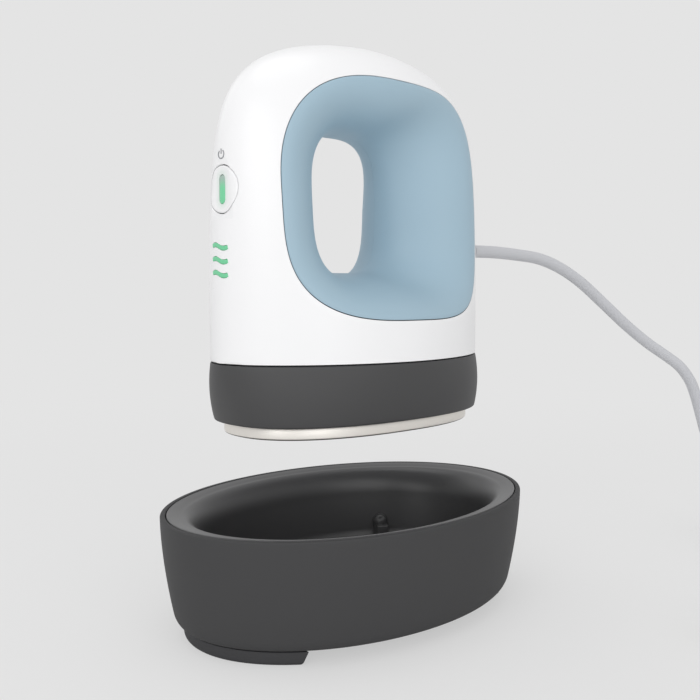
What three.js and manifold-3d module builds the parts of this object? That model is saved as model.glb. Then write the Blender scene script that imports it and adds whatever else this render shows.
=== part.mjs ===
// A handheld mini heat press and the base that it is set down in, in millimetres, +Z up.
// The origin is on the table under the middle of the base. The nose, with the button, points to -X
// and the cord leaves at the rear, +X. The press is shown held above its base.
import * as THREE from "three";
import { mergeVertices } from "three/addons/utils/BufferGeometryUtils.js";
import Module from "manifold-3d";

const wasm = await Module();
wasm.setup();

// Clearances and walls
const GAP = 0.3;
const SHELL_WALL = 2.5;
const SCREW_CLEARANCE = 0.4;
const CUT_OVERSHOOT = 5;

// Heat plate, which sets the press's own zero height at its lower face
const PLATE_HALF_LENGTH = 41.3;
const PLATE_HALF_WIDTH = 24;
const PLATE_THICKNESS = 3.3;
const PLATE_EDGE_ROUND = 0.7;
const PLATE_FULLNESS = 2.35;
const PLATE_BOSS_INSET_END = 15.3;
const PLATE_BOSS_INSET_SIDE = 11.6;
const PLATE_BOSS_RADIUS = 3.2;

// Lower housing, called the skirt
const SKIRT_HEIGHT = 16.4;
const SKIRT_FLARE = 2.8;
const PLATE_MARGIN_END = 2.7;
const PLATE_MARGIN_SIDE = 2.5;
const SKIRT_DECK_RISE = 8.8;
const SKIRT_DECK_THICKNESS = 2;
const SKIRT_TONGUE_HEIGHT = 2.8;
const SKIRT_TONGUE_WALL = 1.6;
const SKIRT_TONGUE_CLEARANCE = 0.5;
const SKIRT_TONGUE_ROOT = 2.5;
const SKIRT_BOSS_INSET_END = 13.8;
const SKIRT_BOSS_INSET_SIDE = 17.3;
const SKIRT_BOSS_RADIUS = 3;

// White body shell
const SHELL_HEIGHT = 89;
const SIDE_PROFILE = [8.7, 2];
const FRONT_PROFILE = [2.95, 2.34];
const SHELL_FULLNESS = 1.87;
const SHELL_LEAN = 1.5;
const LEAN_START = 29;
const LEAN_END = 89;
const LUG_THICKNESS = 2;

// Grip openings in the shell's sides and the hole through the handle
const SEAM_FRONT_MARGIN = 9.2;
const SEAM_REAR_MARGIN = 11;
const SEAM_CENTRE_RISE = 44.5;
const SEAM_HALF_HEIGHT = 33.4;
const SEAM_FULLNESS = { rear_top: 5, nose_top: 2.6, nose_bottom: 3.5, rear_bottom: 3.5 };
const FRONT_COLUMN_DEPTH = 27.3;
const REAR_COLUMN_DEPTH = 37.5;
const HOLE_CENTRE_RISE = 44;
const HOLE_HALF_HEIGHT = 19.7;
const HOLE_FULLNESS = { top: 3.2, bottom: 3.8 };
const GRIP_THICKNESS = 1.8;
const GRIP_EDGE = 1.1;
const GRIP_ROLL = 0.41;
const GRIP_THROAT = { nose: 0.64, rear: 0.62, top: 0.83, bottom: 0.41 };
const LEDGE_DEPTH = 1.8;
const LEDGE_CLEARANCE = 0.95;
const LEDGE_REACH = 1.6;

// Button, light bar and wave lights on the nose
const BUTTON_RISE = 45.7;
const BUTTON_RADIUS = 6.15;
const BUTTON_FLANGE_RADIUS = 7.1;
const BUTTON_FLANGE_THICKNESS = 1;
const BUTTON_STEM_RADIUS = 2.2;
const BUTTON_DEPTH = 7.2;
const BUTTON_TRAVEL = 0.6;
const NOSE_FLAT_DEPTH = 1.1;
const NOSE_FLAT_BELOW = 7.7;
const NOSE_FLAT_ABOVE = 18;
const BAR_LENGTH = 7.4;
const BAR_WIDTH = 2.4;
const BAR_DEPTH = 2.9;
const WAVE_RISES = [30.8, 27.2, 23.6];
const WAVE_HALF_WIDTH = 3.1;
const WAVE_AMPLITUDE = 0.33;
const WAVE_TILT = 0.3;
const WAVE_STROKE = 1.1;
const WAVE_CLEARANCE = 0.25;
const GUIDE_MARGIN = 1.7;

// Control board and the parts on it
const BOARD_SETBACK = 15.4;
const BOARD_THICKNESS = 1.6;
const BOARD_WIDTH = 18;
const BOARD_BOTTOM_RISE = 19.7;
const BOARD_HEIGHT = 40;
const STANDOFF_WIDTH = 4.6;
const STANDOFF_Y = 6.3;
const STANDOFF_END_DISTANCE = 4;
const BOARD_SCREW_LENGTH = 5.4;
const SWITCH_SIZE = 6;
const SWITCH_DEPTH = 3.6;
const PLUNGER_RADIUS = 1.6;
const PLUNGER_LENGTH = 2.2;
const PLUNGER_PROUD = 1.2;
const LED_DEPTH = 1.1;

// Screws
const SCREW_RADIUS = 1.3;
const SCREW_HEAD_RADIUS = 2.5;
const SCREW_HEAD_HEIGHT = 1.7;

// Heater parts on the plate
const ELEMENT_RADIUS = 2.8;
const ELEMENT_LEG_Y = 5.2;
const ELEMENT_NOSE_INSET = 17.3;
const ELEMENT_END_INSET = 11.3;
const CLAMP_PLATE_THICKNESS = 0.8;
const CLAMP_PLATE_HALF_LENGTH = 18;
const INSULATION_THICKNESS = 1.5;
const INSULATION_INSET = 2.5;
const FUSE_RADIUS = 1.8;
const FUSE_LENGTH = 12;
const FUSE_X = -2;
const SENSOR_RADIUS = 1.5;
const SENSOR_LENGTH = 6;
const SENSOR_X = 20;
const WIRE_SLOT_INSET = 6.8;
const WIRE_SLOT_HALF_LENGTH = 2;
const WIRE_RADIUS = 0.8;
const WIRE_LANE = 2.6;

// Base
const FOOT_HEIGHT = 4.2;
const BASE_HEIGHT = 29.8;
const BASE_MARGIN_END = 14;
const BASE_MARGIN_SIDE = 13.8;
const BASE_TAPER = 4;
const BASE_BELLY = 1.7;
const BASE_MIDDLE_RISES = [9, 18];
const BASE_CORNER = 3;
const BASE_CORNER_SHARE = 0.6;
const BASE_WALL = 2.4;
const LINER_WALL = 2.2;
const LINER_FLOOR_RISE = 1.6;
const LIP_DROP = 1.3;
const LIP_WIDTH_END = 10.6;
const LIP_WIDTH_SIDE = 8;
const LIP_ROUND = 5;
const LIP_STEPS = 5;
const LIP_FLAT_SHARE = 0.62;
const LIP_SHELF_SHARE = 0.6;
const CAVITY_TAPER = 4;
const FOOT_CUT_INSET = 21.8;
const FOOT_CUT_LEAN = 0.8;
const FOOT_INSET = 2.2;
const FOOT_SEAT_INSET = 0.8;
const FOOT_TAPER = 1.4;
const POST_RADIUS = 2.5;
const POST_TOP = 18;
const POST_ANGLE = 46;
const POST_WEB = 4;
const POST_REACH = 9;
const SHOULDER_REACH = 1.8;
const BASE_SCREW_INSET = 15.8;

// Heights at which the press is held and docked
const LIFT_GAP = 22.2;
const DOCKED_PLATE_Z = 11.5;

// Cord
const CORD_RADIUS = 2.1;
const CORD_RISE = 52.6;
const CORD_LEAVE = 6;
const RELIEF_LENGTH = 7.7;
const RELIEF_COLLAR_RADIUS = 5.2;
const RELIEF_COLLAR_THICKNESS = 1.4;
const RELIEF_SHOULDER_RADIUS = 3.8;
const RELIEF_TIP_RADIUS = 2.9;
const RELIEF_NECK_RADIUS = 4.6;
const RELIEF_FLANGE_RADIUS = 6;
const RELIEF_FLANGE_DEPTH = 6.2;
const RELIEF_FLANGE_THICKNESS = 1.2;
const RELIEF_SLEEVE_RADIUS = 3.3;
const RELIEF_SLEEVE_DEPTH = 12.6;
const CLAMP_DEPTH = 18.2;
const CLAMP_LENGTH = 4.6;
const CLAMP_HALF_WIDTH = 7;
const CLAMP_HEIGHT = 6.4;
const CLAMP_SCREW_Y = 4.6;
const CORD_LEDGE_THICKNESS = 2.5;
const COIL_TURNS = 9.36;
const COIL_LAYERS = 4;
const COIL_SPACE = 0.6;
const COIL_MIDDLE_RADIUS = 25;
const COIL_START_ANGLE = 45;
const COIL_STEPS_PER_TURN = 24;
const COIL_FLAT = 0.42;
const COIL_CENTRE = [162, -80];
const TIE_THICKNESS = 0.6;
const TIE_WIDTH = 9;
const TIE_ANGLE = 150;
const PLUG_PLACE = [111, -106];
const PLUG_HEADING = 175;
const PLUG_LENGTH = 25;
const PLUG_WIDTH = 20;
const PLUG_HEIGHT = 13;
const PLUG_FULLNESS = 4;
const PLUG_SHOULDERS = [
  [0, 3],
  [4, 1],
  [9, 0],
];
const PLUG_RELIEF_WALLS = [0.6, 2.6];
const PLUG_OVERLAP = 1;
const BLADE_HOLD = 6;
const PLUG_RELIEF_LENGTH = 22;
const BLADE_LENGTH = 17;
const BLADE_WIDTH = 6.4;
const BLADE_THICKNESS = 1.6;
const BLADE_SPACING = 12.7;

// Worked-out lengths, all from the plate outwards
const SHELL_HALF_LENGTH = PLATE_HALF_LENGTH + PLATE_MARGIN_END + SKIRT_FLARE;
const SHELL_HALF_WIDTH = PLATE_HALF_WIDTH + PLATE_MARGIN_SIDE + SKIRT_FLARE;
const BASE_HALF_LENGTH = SHELL_HALF_LENGTH + BASE_MARGIN_END;
const BASE_HALF_WIDTH = SHELL_HALF_WIDTH + BASE_MARGIN_SIDE;
const PLATE_BOSS_X = PLATE_HALF_LENGTH - PLATE_BOSS_INSET_END;
const PLATE_BOSS_Y = PLATE_HALF_WIDTH - PLATE_BOSS_INSET_SIDE;
const ELEMENT_NOSE_X = ELEMENT_NOSE_INSET - PLATE_HALF_LENGTH;
const ELEMENT_END_X = PLATE_HALF_LENGTH - ELEMENT_END_INSET;
const WIRE_SLOT_X = PLATE_HALF_LENGTH - WIRE_SLOT_INSET;
const SKIRT_BOSS_X = SHELL_HALF_LENGTH - SKIRT_BOSS_INSET_END;
const SKIRT_BOSS_Y = SHELL_HALF_WIDTH - SKIRT_BOSS_INSET_SIDE;
const SEAM_CENTRE_X = (SEAM_FRONT_MARGIN - SEAM_REAR_MARGIN) / 2;
const SEAM_HALF_LENGTH = SHELL_HALF_LENGTH - (SEAM_FRONT_MARGIN + SEAM_REAR_MARGIN) / 2;
const HOLE_CENTRE_X = (FRONT_COLUMN_DEPTH - REAR_COLUMN_DEPTH) / 2;
const HOLE_HALF_LENGTH = SHELL_HALF_LENGTH - (FRONT_COLUMN_DEPTH + REAR_COLUMN_DEPTH) / 2;
const NOSE_FLAT_X = NOSE_FLAT_DEPTH - SHELL_HALF_LENGTH;
const BUTTON_BACK_X = BUTTON_DEPTH - SHELL_HALF_LENGTH;
const BOARD_BACK_X = BOARD_SETBACK - SHELL_HALF_LENGTH;
const RELIEF_FLANGE_X = SHELL_HALF_LENGTH - RELIEF_FLANGE_DEPTH;
const RELIEF_SLEEVE_X = SHELL_HALF_LENGTH - RELIEF_SLEEVE_DEPTH;
const CLAMP_X = SHELL_HALF_LENGTH - CLAMP_DEPTH;
const FOOT_CUT_X = BASE_HALF_LENGTH - FOOT_CUT_INSET;
const BASE_SCREW_X = BASE_HALF_LENGTH - BASE_SCREW_INSET;

// Worked-out heights. Heights named _Z inside the press are above the plate's lower face.
const SKIRT_BOTTOM_Z = PLATE_THICKNESS + GAP;
const SKIRT_TOP_Z = SKIRT_BOTTOM_Z + SKIRT_HEIGHT;
const DECK_BOTTOM_Z = SKIRT_BOTTOM_Z + SKIRT_DECK_RISE;
const DECK_TOP_Z = DECK_BOTTOM_Z + SKIRT_DECK_THICKNESS;
const SHELL_BOTTOM_Z = SKIRT_TOP_Z + GAP;
const LUG_BOTTOM_Z = SKIRT_TOP_Z + SKIRT_TONGUE_HEIGHT + 2 * GAP;
const SEAM_CENTRE_Z = SHELL_BOTTOM_Z + SEAM_CENTRE_RISE;
const HOLE_CENTRE_Z = SHELL_BOTTOM_Z + HOLE_CENTRE_RISE;
const BUTTON_Z = SHELL_BOTTOM_Z + BUTTON_RISE;
const BOARD_BOTTOM_Z = SHELL_BOTTOM_Z + BOARD_BOTTOM_RISE;
const BOARD_FRONT_X = BOARD_BACK_X - BOARD_THICKNESS;
const RIM_Z = FOOT_HEIGHT + BASE_HEIGHT;
const PLATE_Z = RIM_Z + LIFT_GAP;
const SWITCH_FRONT_X = BOARD_FRONT_X - GAP - SWITCH_DEPTH;
const RELIEF_END_X = SHELL_HALF_LENGTH + RELIEF_LENGTH;
const COIL_PITCH = 2 * CORD_RADIUS + COIL_SPACE;
const COIL_SPREAD = (COIL_PITCH * COIL_TURNS) / COIL_LAYERS;
const COIL_OUTER_RADIUS = COIL_MIDDLE_RADIUS + COIL_SPREAD / 2;
const COIL_Z = CORD_RADIUS - COIL_FLAT;

// Counts of flats on round and oval pieces
const OVAL_STEPS = 40;
const RING_STEPS = 36;
const BODY_LEVELS = 11;
const BODY_INNER_LEVELS = 9;
const ROUND_STEPS = 16;
const BUTTON_STEPS = 32;
const SCREW_STEPS = 8;
const BOSS_STEPS = 12;
const GRIP_STEPS = 8;
const WAVE_STEPS = 10;
const CORD_SIDES = 8;
const COIL_SIDES = 6;
const PLUG_STEPS = 24;
const LEAD_STEPS = 30;
const TAIL_STEPS = 9;

const COLOURS = {
  white: [0xf6f7f8, 0.35, 0],
  blue: [0xa3b8c8, 0.45, 0],
  charcoal: [0x4a4a4b, 0.6, 0],
  steel: [0xcdc8c4, 0.3, 1],
  green: [0x7fd3a3, 0.3, 0],
  board: [0x2d6b45, 0.5, 0],
  black: [0x26282a, 0.5, 0],
  mica: [0xc9c0a2, 0.8, 0],
  copper: [0xb4633a, 0.4, 1],
  brass: [0xc7a450, 0.35, 1],
  cordgrey: [0xd9dbdd, 0.5, 0],
};

const object = new THREE.Group();
const press = new THREE.Group();
press.position.z = PLATE_Z;
object.add(press);

function add(parent, name, geometry, colour) {
  const [color, roughness, metalness] = COLOURS[colour];
  const material = new THREE.MeshStandardMaterial({ color, roughness, metalness });
  const mesh = new THREE.Mesh(geometry, material);
  mesh.name = name;
  parent.add(mesh);
}

// Booleans
function solid(geometry) {
  const bare = geometry.index ? geometry.toNonIndexed() : geometry.clone();
  bare.deleteAttribute("normal");
  bare.deleteAttribute("uv");
  const merged = mergeVertices(bare, 1e-4);
  const triVerts = new Uint32Array(merged.index.array);
  const vertProperties = new Float32Array(merged.attributes.position.array);
  return new wasm.Manifold(new wasm.Mesh({ numProp: 3, vertProperties, triVerts }));
}

function shape(manifold) {
  const mesh = manifold.getMesh();
  const geometry = new THREE.BufferGeometry();
  geometry.setAttribute("position", new THREE.BufferAttribute(mesh.vertProperties, 3));
  geometry.setIndex(new THREE.BufferAttribute(mesh.triVerts, 1));
  return geometry;
}

// Simple bodies
function box(x0, x1, y0, y1, z0, z1) {
  const geometry = new THREE.BoxGeometry(x1 - x0, y1 - y0, z1 - z0);
  return geometry.translate((x0 + x1) / 2, (y0 + y1) / 2, (z0 + z1) / 2);
}

function post(x, y, z0, z1, radius, steps = ROUND_STEPS) {
  const geometry = new THREE.CylinderGeometry(radius, radius, z1 - z0, steps);
  return geometry.rotateX(Math.PI / 2).translate(x, y, (z0 + z1) / 2);
}

function rodX(x0, x1, y, z, radius, steps = ROUND_STEPS) {
  const geometry = new THREE.CylinderGeometry(radius, radius, x1 - x0, steps);
  return geometry.rotateZ(Math.PI / 2).translate((x0 + x1) / 2, y, z);
}

// A solid of rings from the bottom up, closed by a fan at each end, the top one to an apex if given
function stack(rings, apex) {
  const count = rings[0].length;
  const positions = rings.flat().flat();
  const middle = (ring) => [0, 1, 2].map((k) => ring.reduce((sum, p) => sum + p[k], 0) / count);
  const bottom = rings.length * count;
  positions.push(...middle(rings[0]), ...(apex || middle(rings[rings.length - 1])));
  const faces = [];
  for (let i = 0; i < count; i++) {
    const next = (i + 1) % count;
    for (let r = 0; r + 1 < rings.length; r++) {
      const a = r * count;
      faces.push(a + i, a + next, a + count + next, a + i, a + count + next, a + count + i);
    }
    const top = (rings.length - 1) * count;
    faces.push(bottom, next, i, bottom + 1, top + i, top + next);
  }
  return indexed(positions, faces);
}

// A closed ring of loops, each loop a closed section
function wreath(loops) {
  const count = loops[0].length;
  const faces = [];
  for (let r = 0; r < loops.length; r++) {
    const a = r * count;
    const b = ((r + 1) % loops.length) * count;
    for (let i = 0; i < count; i++) {
      const next = (i + 1) % count;
      faces.push(a + i, b + i, b + next, a + i, b + next, a + next);
    }
  }
  return indexed(loops.flat().flat(), faces);
}

function indexed(positions, faces) {
  const geometry = new THREE.BufferGeometry();
  geometry.setAttribute("position", new THREE.Float32BufferAttribute(positions, 3));
  geometry.setIndex(faces);
  return geometry;
}

function rounded(value, power) {
  return Math.sign(value) * Math.abs(value) ** power;
}

function unit(degrees) {
  const angle = THREE.MathUtils.degToRad(degrees);
  return [Math.cos(angle), Math.sin(angle)];
}

function oval(halfLength, halfWidth, z, fullness = 2, centreX = 0, steps = OVAL_STEPS) {
  return Array.from({ length: steps }, (_, i) => {
    const angle = (2 * Math.PI * i) / steps;
    const x = centreX + halfLength * rounded(Math.cos(angle), 2 / fullness);
    return [x, halfWidth * rounded(Math.sin(angle), 2 / fullness), z];
  });
}

function screw(direction, length) {
  const profile = [
    [0, -length],
    [SCREW_RADIUS, -length],
    [SCREW_RADIUS, 0],
    [SCREW_HEAD_RADIUS, 0],
    [SCREW_HEAD_RADIUS, SCREW_HEAD_HEIGHT],
    [0, SCREW_HEAD_HEIGHT],
  ];
  const points = profile.map(([r, h]) => new THREE.Vector2(r, h));
  const geometry = new THREE.LatheGeometry(points, SCREW_STEPS);
  const up = new THREE.Vector3(0, 1, 0);
  return geometry.applyQuaternion(new THREE.Quaternion().setFromUnitVectors(up, direction));
}

function tube(points, radius, steps, sides) {
  const path = new THREE.CatmullRomCurve3(points.map((p) => new THREE.Vector3(...p)));
  const section = new THREE.Shape();
  section.absarc(0, 0, radius, 0, 2 * Math.PI, false);
  const options = { steps, bevelEnabled: false, extrudePath: path, curveSegments: sides / 2 };
  return new THREE.ExtrudeGeometry(section, options);
}

// Outline in the XZ plane, swept along Y
function prismY(outline, y0, y1) {
  const section = new THREE.Shape(outline.map(([x, z]) => new THREE.Vector2(x, z)));
  const geometry = new THREE.ExtrudeGeometry(section, { depth: y1 - y0, bevelEnabled: false });
  return geometry.rotateX(Math.PI / 2).translate(0, y1, 0);
}

// Outline in the YZ plane, swept along X
function prismX(outline, x0, x1) {
  const section = new THREE.Shape(outline.map(([y, z]) => new THREE.Vector2(y, z)));
  const geometry = new THREE.ExtrudeGeometry(section, { depth: x1 - x0, bevelEnabled: false });
  return geometry.rotateX(Math.PI / 2).rotateZ(Math.PI / 2).translate(x0, 0, 0);
}

function widened(outline, distance) {
  const count = outline.length;
  return outline.map(([x, z], i) => {
    const [xa, za] = outline[(i + count - 1) % count];
    const [xb, zb] = outline[(i + 1) % count];
    const length = Math.hypot(xb - xa, zb - za);
    return [x + ((zb - za) / length) * distance, z - ((xb - xa) / length) * distance];
  });
}

// White body shell's outer form. Its side and front profiles are flattened ovals that close at the top.
function profile(z, inset, [power, root]) {
  const share = Math.min(1, Math.max(0, (z - SHELL_BOTTOM_Z) / (SHELL_HEIGHT - inset)));
  return (1 - share ** power) ** (1 / root);
}

function bodyCentre(z) {
  const share = (z - SHELL_BOTTOM_Z - LEAN_START) / (LEAN_END - LEAN_START);
  return SHELL_LEAN * THREE.MathUtils.smoothstep(share, 0, 1);
}

function bodyHalfLength(z, inset = 0) {
  return (SHELL_HALF_LENGTH - inset) * profile(z, inset, SIDE_PROFILE);
}

function bodyHalfWidth(z, inset = 0) {
  return (SHELL_HALF_WIDTH - inset) * profile(z, inset, FRONT_PROFILE);
}

function bodySurfaceY(x, z, inset = 0) {
  const share = Math.abs(x - bodyCentre(z)) / bodyHalfLength(z, inset);
  const across = Math.max(0, 1 - share ** SHELL_FULLNESS) ** (1 / SHELL_FULLNESS);
  return bodyHalfWidth(z, inset) * across;
}

function bodySolid(inset) {
  const height = SHELL_HEIGHT - inset;
  const levels = inset > 0 ? BODY_INNER_LEVELS : BODY_LEVELS;
  const bottom = inset > 0 ? -1 : 0;
  const rings = Array.from({ length: levels }, (_, i) => {
    const z = SHELL_BOTTOM_Z + height * (1 - (1 - i / levels) ** 2);
    return oval(bodyHalfLength(z, inset), bodyHalfWidth(z, inset), z, SHELL_FULLNESS, bodyCentre(z));
  });
  if (bottom) rings[0] = rings[0].map(([x, y, z]) => [x, y, z + bottom]);
  return solid(stack(rings, [SHELL_LEAN, 0, SHELL_BOTTOM_Z + height]));
}

// Seam between the shell and a grip, and the neck of the hole, as outlines in the XZ plane
function seamOutline() {
  return Array.from({ length: RING_STEPS }, (_, i) => {
    const angle = (2 * Math.PI * i) / RING_STEPS;
    const c = Math.cos(angle);
    const s = Math.sin(angle);
    const key = (c < 0 ? "nose" : "rear") + (s < 0 ? "_bottom" : "_top");
    const power = 2 / SEAM_FULLNESS[key];
    const x = SEAM_CENTRE_X + SEAM_HALF_LENGTH * rounded(c, power);
    return [x, SEAM_CENTRE_Z + SEAM_HALF_HEIGHT * rounded(s, power)];
  });
}

function holeOutline() {
  return Array.from({ length: RING_STEPS }, (_, i) => {
    const angle = (2 * Math.PI * i) / RING_STEPS;
    const power = 2 / HOLE_FULLNESS[Math.sin(angle) < 0 ? "bottom" : "top"];
    const x = HOLE_CENTRE_X + HOLE_HALF_LENGTH * rounded(Math.cos(angle), power);
    const z = HOLE_CENTRE_Z + HOLE_HALF_HEIGHT * rounded(Math.sin(angle), power);
    return [x, z];
  });
}

const noseFlat = solid(
  box(
    NOSE_FLAT_X - SHELL_HALF_LENGTH,
    NOSE_FLAT_X,
    -SHELL_HALF_WIDTH,
    SHELL_HALF_WIDTH,
    BUTTON_Z - NOSE_FLAT_BELOW,
    BUTTON_Z + NOSE_FLAT_ABOVE,
  ),
);
const bodyOuter = bodySolid(0).subtract(noseFlat);
const seam = seamOutline();
const far = 2 * SHELL_HALF_WIDTH;

// Light bar outline and wave strokes, seen from the nose
function slotOutline(width, length, z) {
  const radius = width / 2;
  const straight = length / 2 - radius;
  const steps = ROUND_STEPS / 2;
  return Array.from({ length: 2 * (steps + 1) }, (_, i) => {
    const upper = i <= steps;
    const angle = (Math.PI * (upper ? i : i - 1)) / steps;
    const rise = upper ? straight : -straight;
    return [radius * Math.cos(angle), z + rise + radius * Math.sin(angle)];
  });
}

function waveOutline(z, clearance) {
  const steps = WAVE_STEPS;
  const halfStroke = WAVE_STROKE / 2 + clearance;
  const edge = (side) =>
    Array.from({ length: steps + 1 }, (_, i) => {
      const share = (i / steps) * 2 - 1;
      const height = WAVE_AMPLITUDE * Math.sin(Math.PI * share) + WAVE_TILT * share;
      return [share * (WAVE_HALF_WIDTH + clearance), z + height + side * halfStroke];
    });
  return [...edge(-1), ...edge(1).reverse()];
}

// White body shell
function buildShell() {
  const ledgeRing = solid(prismY(widened(seam, LEDGE_REACH), -far, far)).subtract(
    solid(prismY(widened(seam, -LEDGE_REACH), -far, far)),
  );
  const ledgeInset = GRIP_THICKNESS + LEDGE_CLEARANCE;
  const ledge = bodySolid(ledgeInset).subtract(bodySolid(ledgeInset + LEDGE_DEPTH)).intersect(ledgeRing);
  let shell = bodyOuter.subtract(bodySolid(SHELL_WALL));
  shell = shell.subtract(solid(prismY(seam, -far, far))).add(ledge);

  const lugTop = LUG_BOTTOM_Z + LUG_THICKNESS;
  const reach = SKIRT_BOSS_RADIUS + GAP;
  const inside = bodySolid(SHELL_WALL / 2);
  for (const [x, y] of corners(SKIRT_BOSS_X, SKIRT_BOSS_Y)) {
    const outward = Math.sign(y) * SHELL_HALF_WIDTH;
    const [y0, y1] = [y - Math.sign(y) * reach, outward].sort((a, b) => a - b);
    const lug = solid(box(x - reach, x + reach, y0, y1, LUG_BOTTOM_Z, lugTop)).intersect(inside);
    shell = shell.add(lug);
    shell = shell.subtract(solid(post(x, y, LUG_BOTTOM_Z - 1, lugTop + 1, SCREW_RADIUS + SCREW_CLEARANCE)));
  }
  for (const z of standoffHeights()) {
    for (const side of [-1, 1]) {
      const y = side * STANDOFF_Y;
      const half = STANDOFF_WIDTH / 2;
      const arm = box(-SHELL_HALF_LENGTH, BOARD_FRONT_X - GAP, y - half, y + half, z - half, z + half);
      shell = shell.add(solid(arm).intersect(inside));
      const pilotEnd = BOARD_BACK_X - BOARD_SCREW_LENGTH - GAP;
      const pilot = rodX(pilotEnd, BOARD_FRONT_X, y, z, SCREW_RADIUS + GAP / 2, SCREW_STEPS);
      if (z > BUTTON_Z) shell = shell.subtract(solid(pilot));
    }
  }
  const ledgeZ = CORD_RISE - RELIEF_FLANGE_RADIUS - GAP;
  const ledgeBottom = ledgeZ - CORD_LEDGE_THICKNESS;
  const seatZ = clampSeatZ();
  const half = CLAMP_HALF_WIDTH;
  const ledgeBox = box(CLAMP_X, SHELL_HALF_LENGTH, -half, half, ledgeBottom, ledgeZ);
  const pedestal = box(CLAMP_X, CLAMP_X + CLAMP_LENGTH, -half, half, ledgeBottom, seatZ);
  shell = shell.add(solid(ledgeBox).intersect(inside)).add(solid(pedestal));
  for (const [x, y] of clampScrews()) {
    const hole = post(x, y, ledgeBottom + 1.5, seatZ + 1, SCREW_RADIUS + GAP / 2, SCREW_STEPS);
    shell = shell.subtract(solid(hole));
  }

  const beyondEnd = SHELL_HALF_LENGTH + CUT_OVERSHOOT;
  const buttonHole = rodX(-beyondEnd, BUTTON_BACK_X, 0, BUTTON_Z, BUTTON_RADIUS + GAP, BUTTON_STEPS);
  const cordHole = rodX(RELIEF_FLANGE_X, beyondEnd, 0, CORD_RISE, RELIEF_NECK_RADIUS + GAP);
  shell = shell.subtract(solid(buttonHole)).subtract(solid(cordHole));
  for (const rise of WAVE_RISES) {
    const outline = waveOutline(SHELL_BOTTOM_Z + rise, WAVE_CLEARANCE);
    shell = shell.subtract(solid(prismX(outline, -beyondEnd, CUT_OVERSHOOT - SHELL_HALF_LENGTH)));
  }
  add(press, "body_shell", shape(shell), "white");
}

function corners(x, y) {
  return [
    [-x, -y],
    [-x, y],
    [x, -y],
    [x, y],
  ];
}

function clampSeatZ() {
  return CORD_RISE - CORD_RADIUS - GAP;
}

function clampScrews() {
  const x = CLAMP_X + CLAMP_LENGTH / 2;
  return [
    [x, -CLAMP_SCREW_Y],
    [x, CLAMP_SCREW_Y],
  ];
}

function standoffHeights() {
  const distance = STANDOFF_END_DISTANCE;
  return [BOARD_BOTTOM_Z + distance, BOARD_BOTTOM_Z + BOARD_HEIGHT - distance];
}

function gripThroat(angle) {
  const c = Math.cos(angle);
  const s = Math.sin(angle);
  const { nose, rear, top, bottom } = GRIP_THROAT;
  return (c < 0 ? nose : rear) * c * c + (s < 0 ? bottom : top) * s * s;
}

// Grips. Each rolls from its seam on the body's side into the hole and ends at the middle plane.
function buildGrip(name, side) {
  const seamEdge = widened(seam, -GAP);
  const hole = holeOutline();
  const loops = seamEdge.map(([xs, zs], i) => {
    const [xn, zn] = hole[i];
    const run = Math.hypot(xn - xs, zn - zs);
    const direction = [(xn - xs) / run, (zn - zs) / run];
    const ys = bodySurfaceY(xs, zs);
    const near = 0.5;
    const slope = (bodySurfaceY(xs + near * direction[0], zs + near * direction[1]) - ys) / near;
    const tilt = Math.hypot(1, slope);
    const roll = GRIP_ROLL * run;
    const throat = gripThroat((2 * Math.PI * i) / RING_STEPS);
    const controls = [
      [0, ys],
      [roll / tilt, ys + (roll * slope) / tilt],
      [run, Math.min(throat * ys + GAP, ys)],
      [run, GAP / 2],
    ];
    const outer = bezier(controls, GRIP_STEPS);
    const inner = [[run - GRIP_THICKNESS, GAP / 2]];
    for (let k = GRIP_STEPS - 2; k > 0; k -= 2) {
      const [ra, ya] = outer[k - 1];
      const [rb, yb] = outer[k + 1];
      const deep = GRIP_THICKNESS / Math.hypot(rb - ra, yb - ya);
      inner.push([outer[k][0] + deep * (yb - ya), outer[k][1] - deep * (rb - ra)]);
    }
    inner.push([0, ys - GRIP_EDGE * tilt]);
    const section = [...outer, ...inner];
    return section.map(([r, y]) => [xs + direction[0] * r, side * y, zs + direction[1] * r]);
  });
  if (side > 0) loops.forEach((loop) => loop.reverse());
  add(press, name, wreath(loops), "blue");
}

function bezier([a, b, c, d], steps) {
  return Array.from({ length: steps + 1 }, (_, i) => {
    const t = i / steps;
    const u = 1 - t;
    return [0, 1].map((k) => u ** 3 * a[k] + 3 * u * u * t * b[k] + 3 * u * t * t * c[k] + t ** 3 * d[k]);
  });
}

// Skirt
function skirtHalf(z, half) {
  const share = (z - SKIRT_BOTTOM_Z) / SKIRT_HEIGHT;
  return half - SKIRT_FLARE * (1 - share) ** 2;
}

function skirtRing(z, inset) {
  const share = (z - SKIRT_BOTTOM_Z) / SKIRT_HEIGHT;
  const fullness = PLATE_FULLNESS + (SHELL_FULLNESS - PLATE_FULLNESS) * share;
  return oval(skirtHalf(z, SHELL_HALF_LENGTH) - inset, skirtHalf(z, SHELL_HALF_WIDTH) - inset, z, fullness);
}

function skirtSolid(inset, levels = 4) {
  return solid(
    stack(
      Array.from({ length: levels + 1 }, (_, i) => {
        return skirtRing(SKIRT_BOTTOM_Z + (SKIRT_HEIGHT * i) / levels, inset);
      }),
    ),
  );
}

function slab(halfLength, halfWidth, fullness, z0, z1) {
  return solid(stack([oval(halfLength, halfWidth, z0, fullness), oval(halfLength, halfWidth, z1, fullness)]));
}

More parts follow.
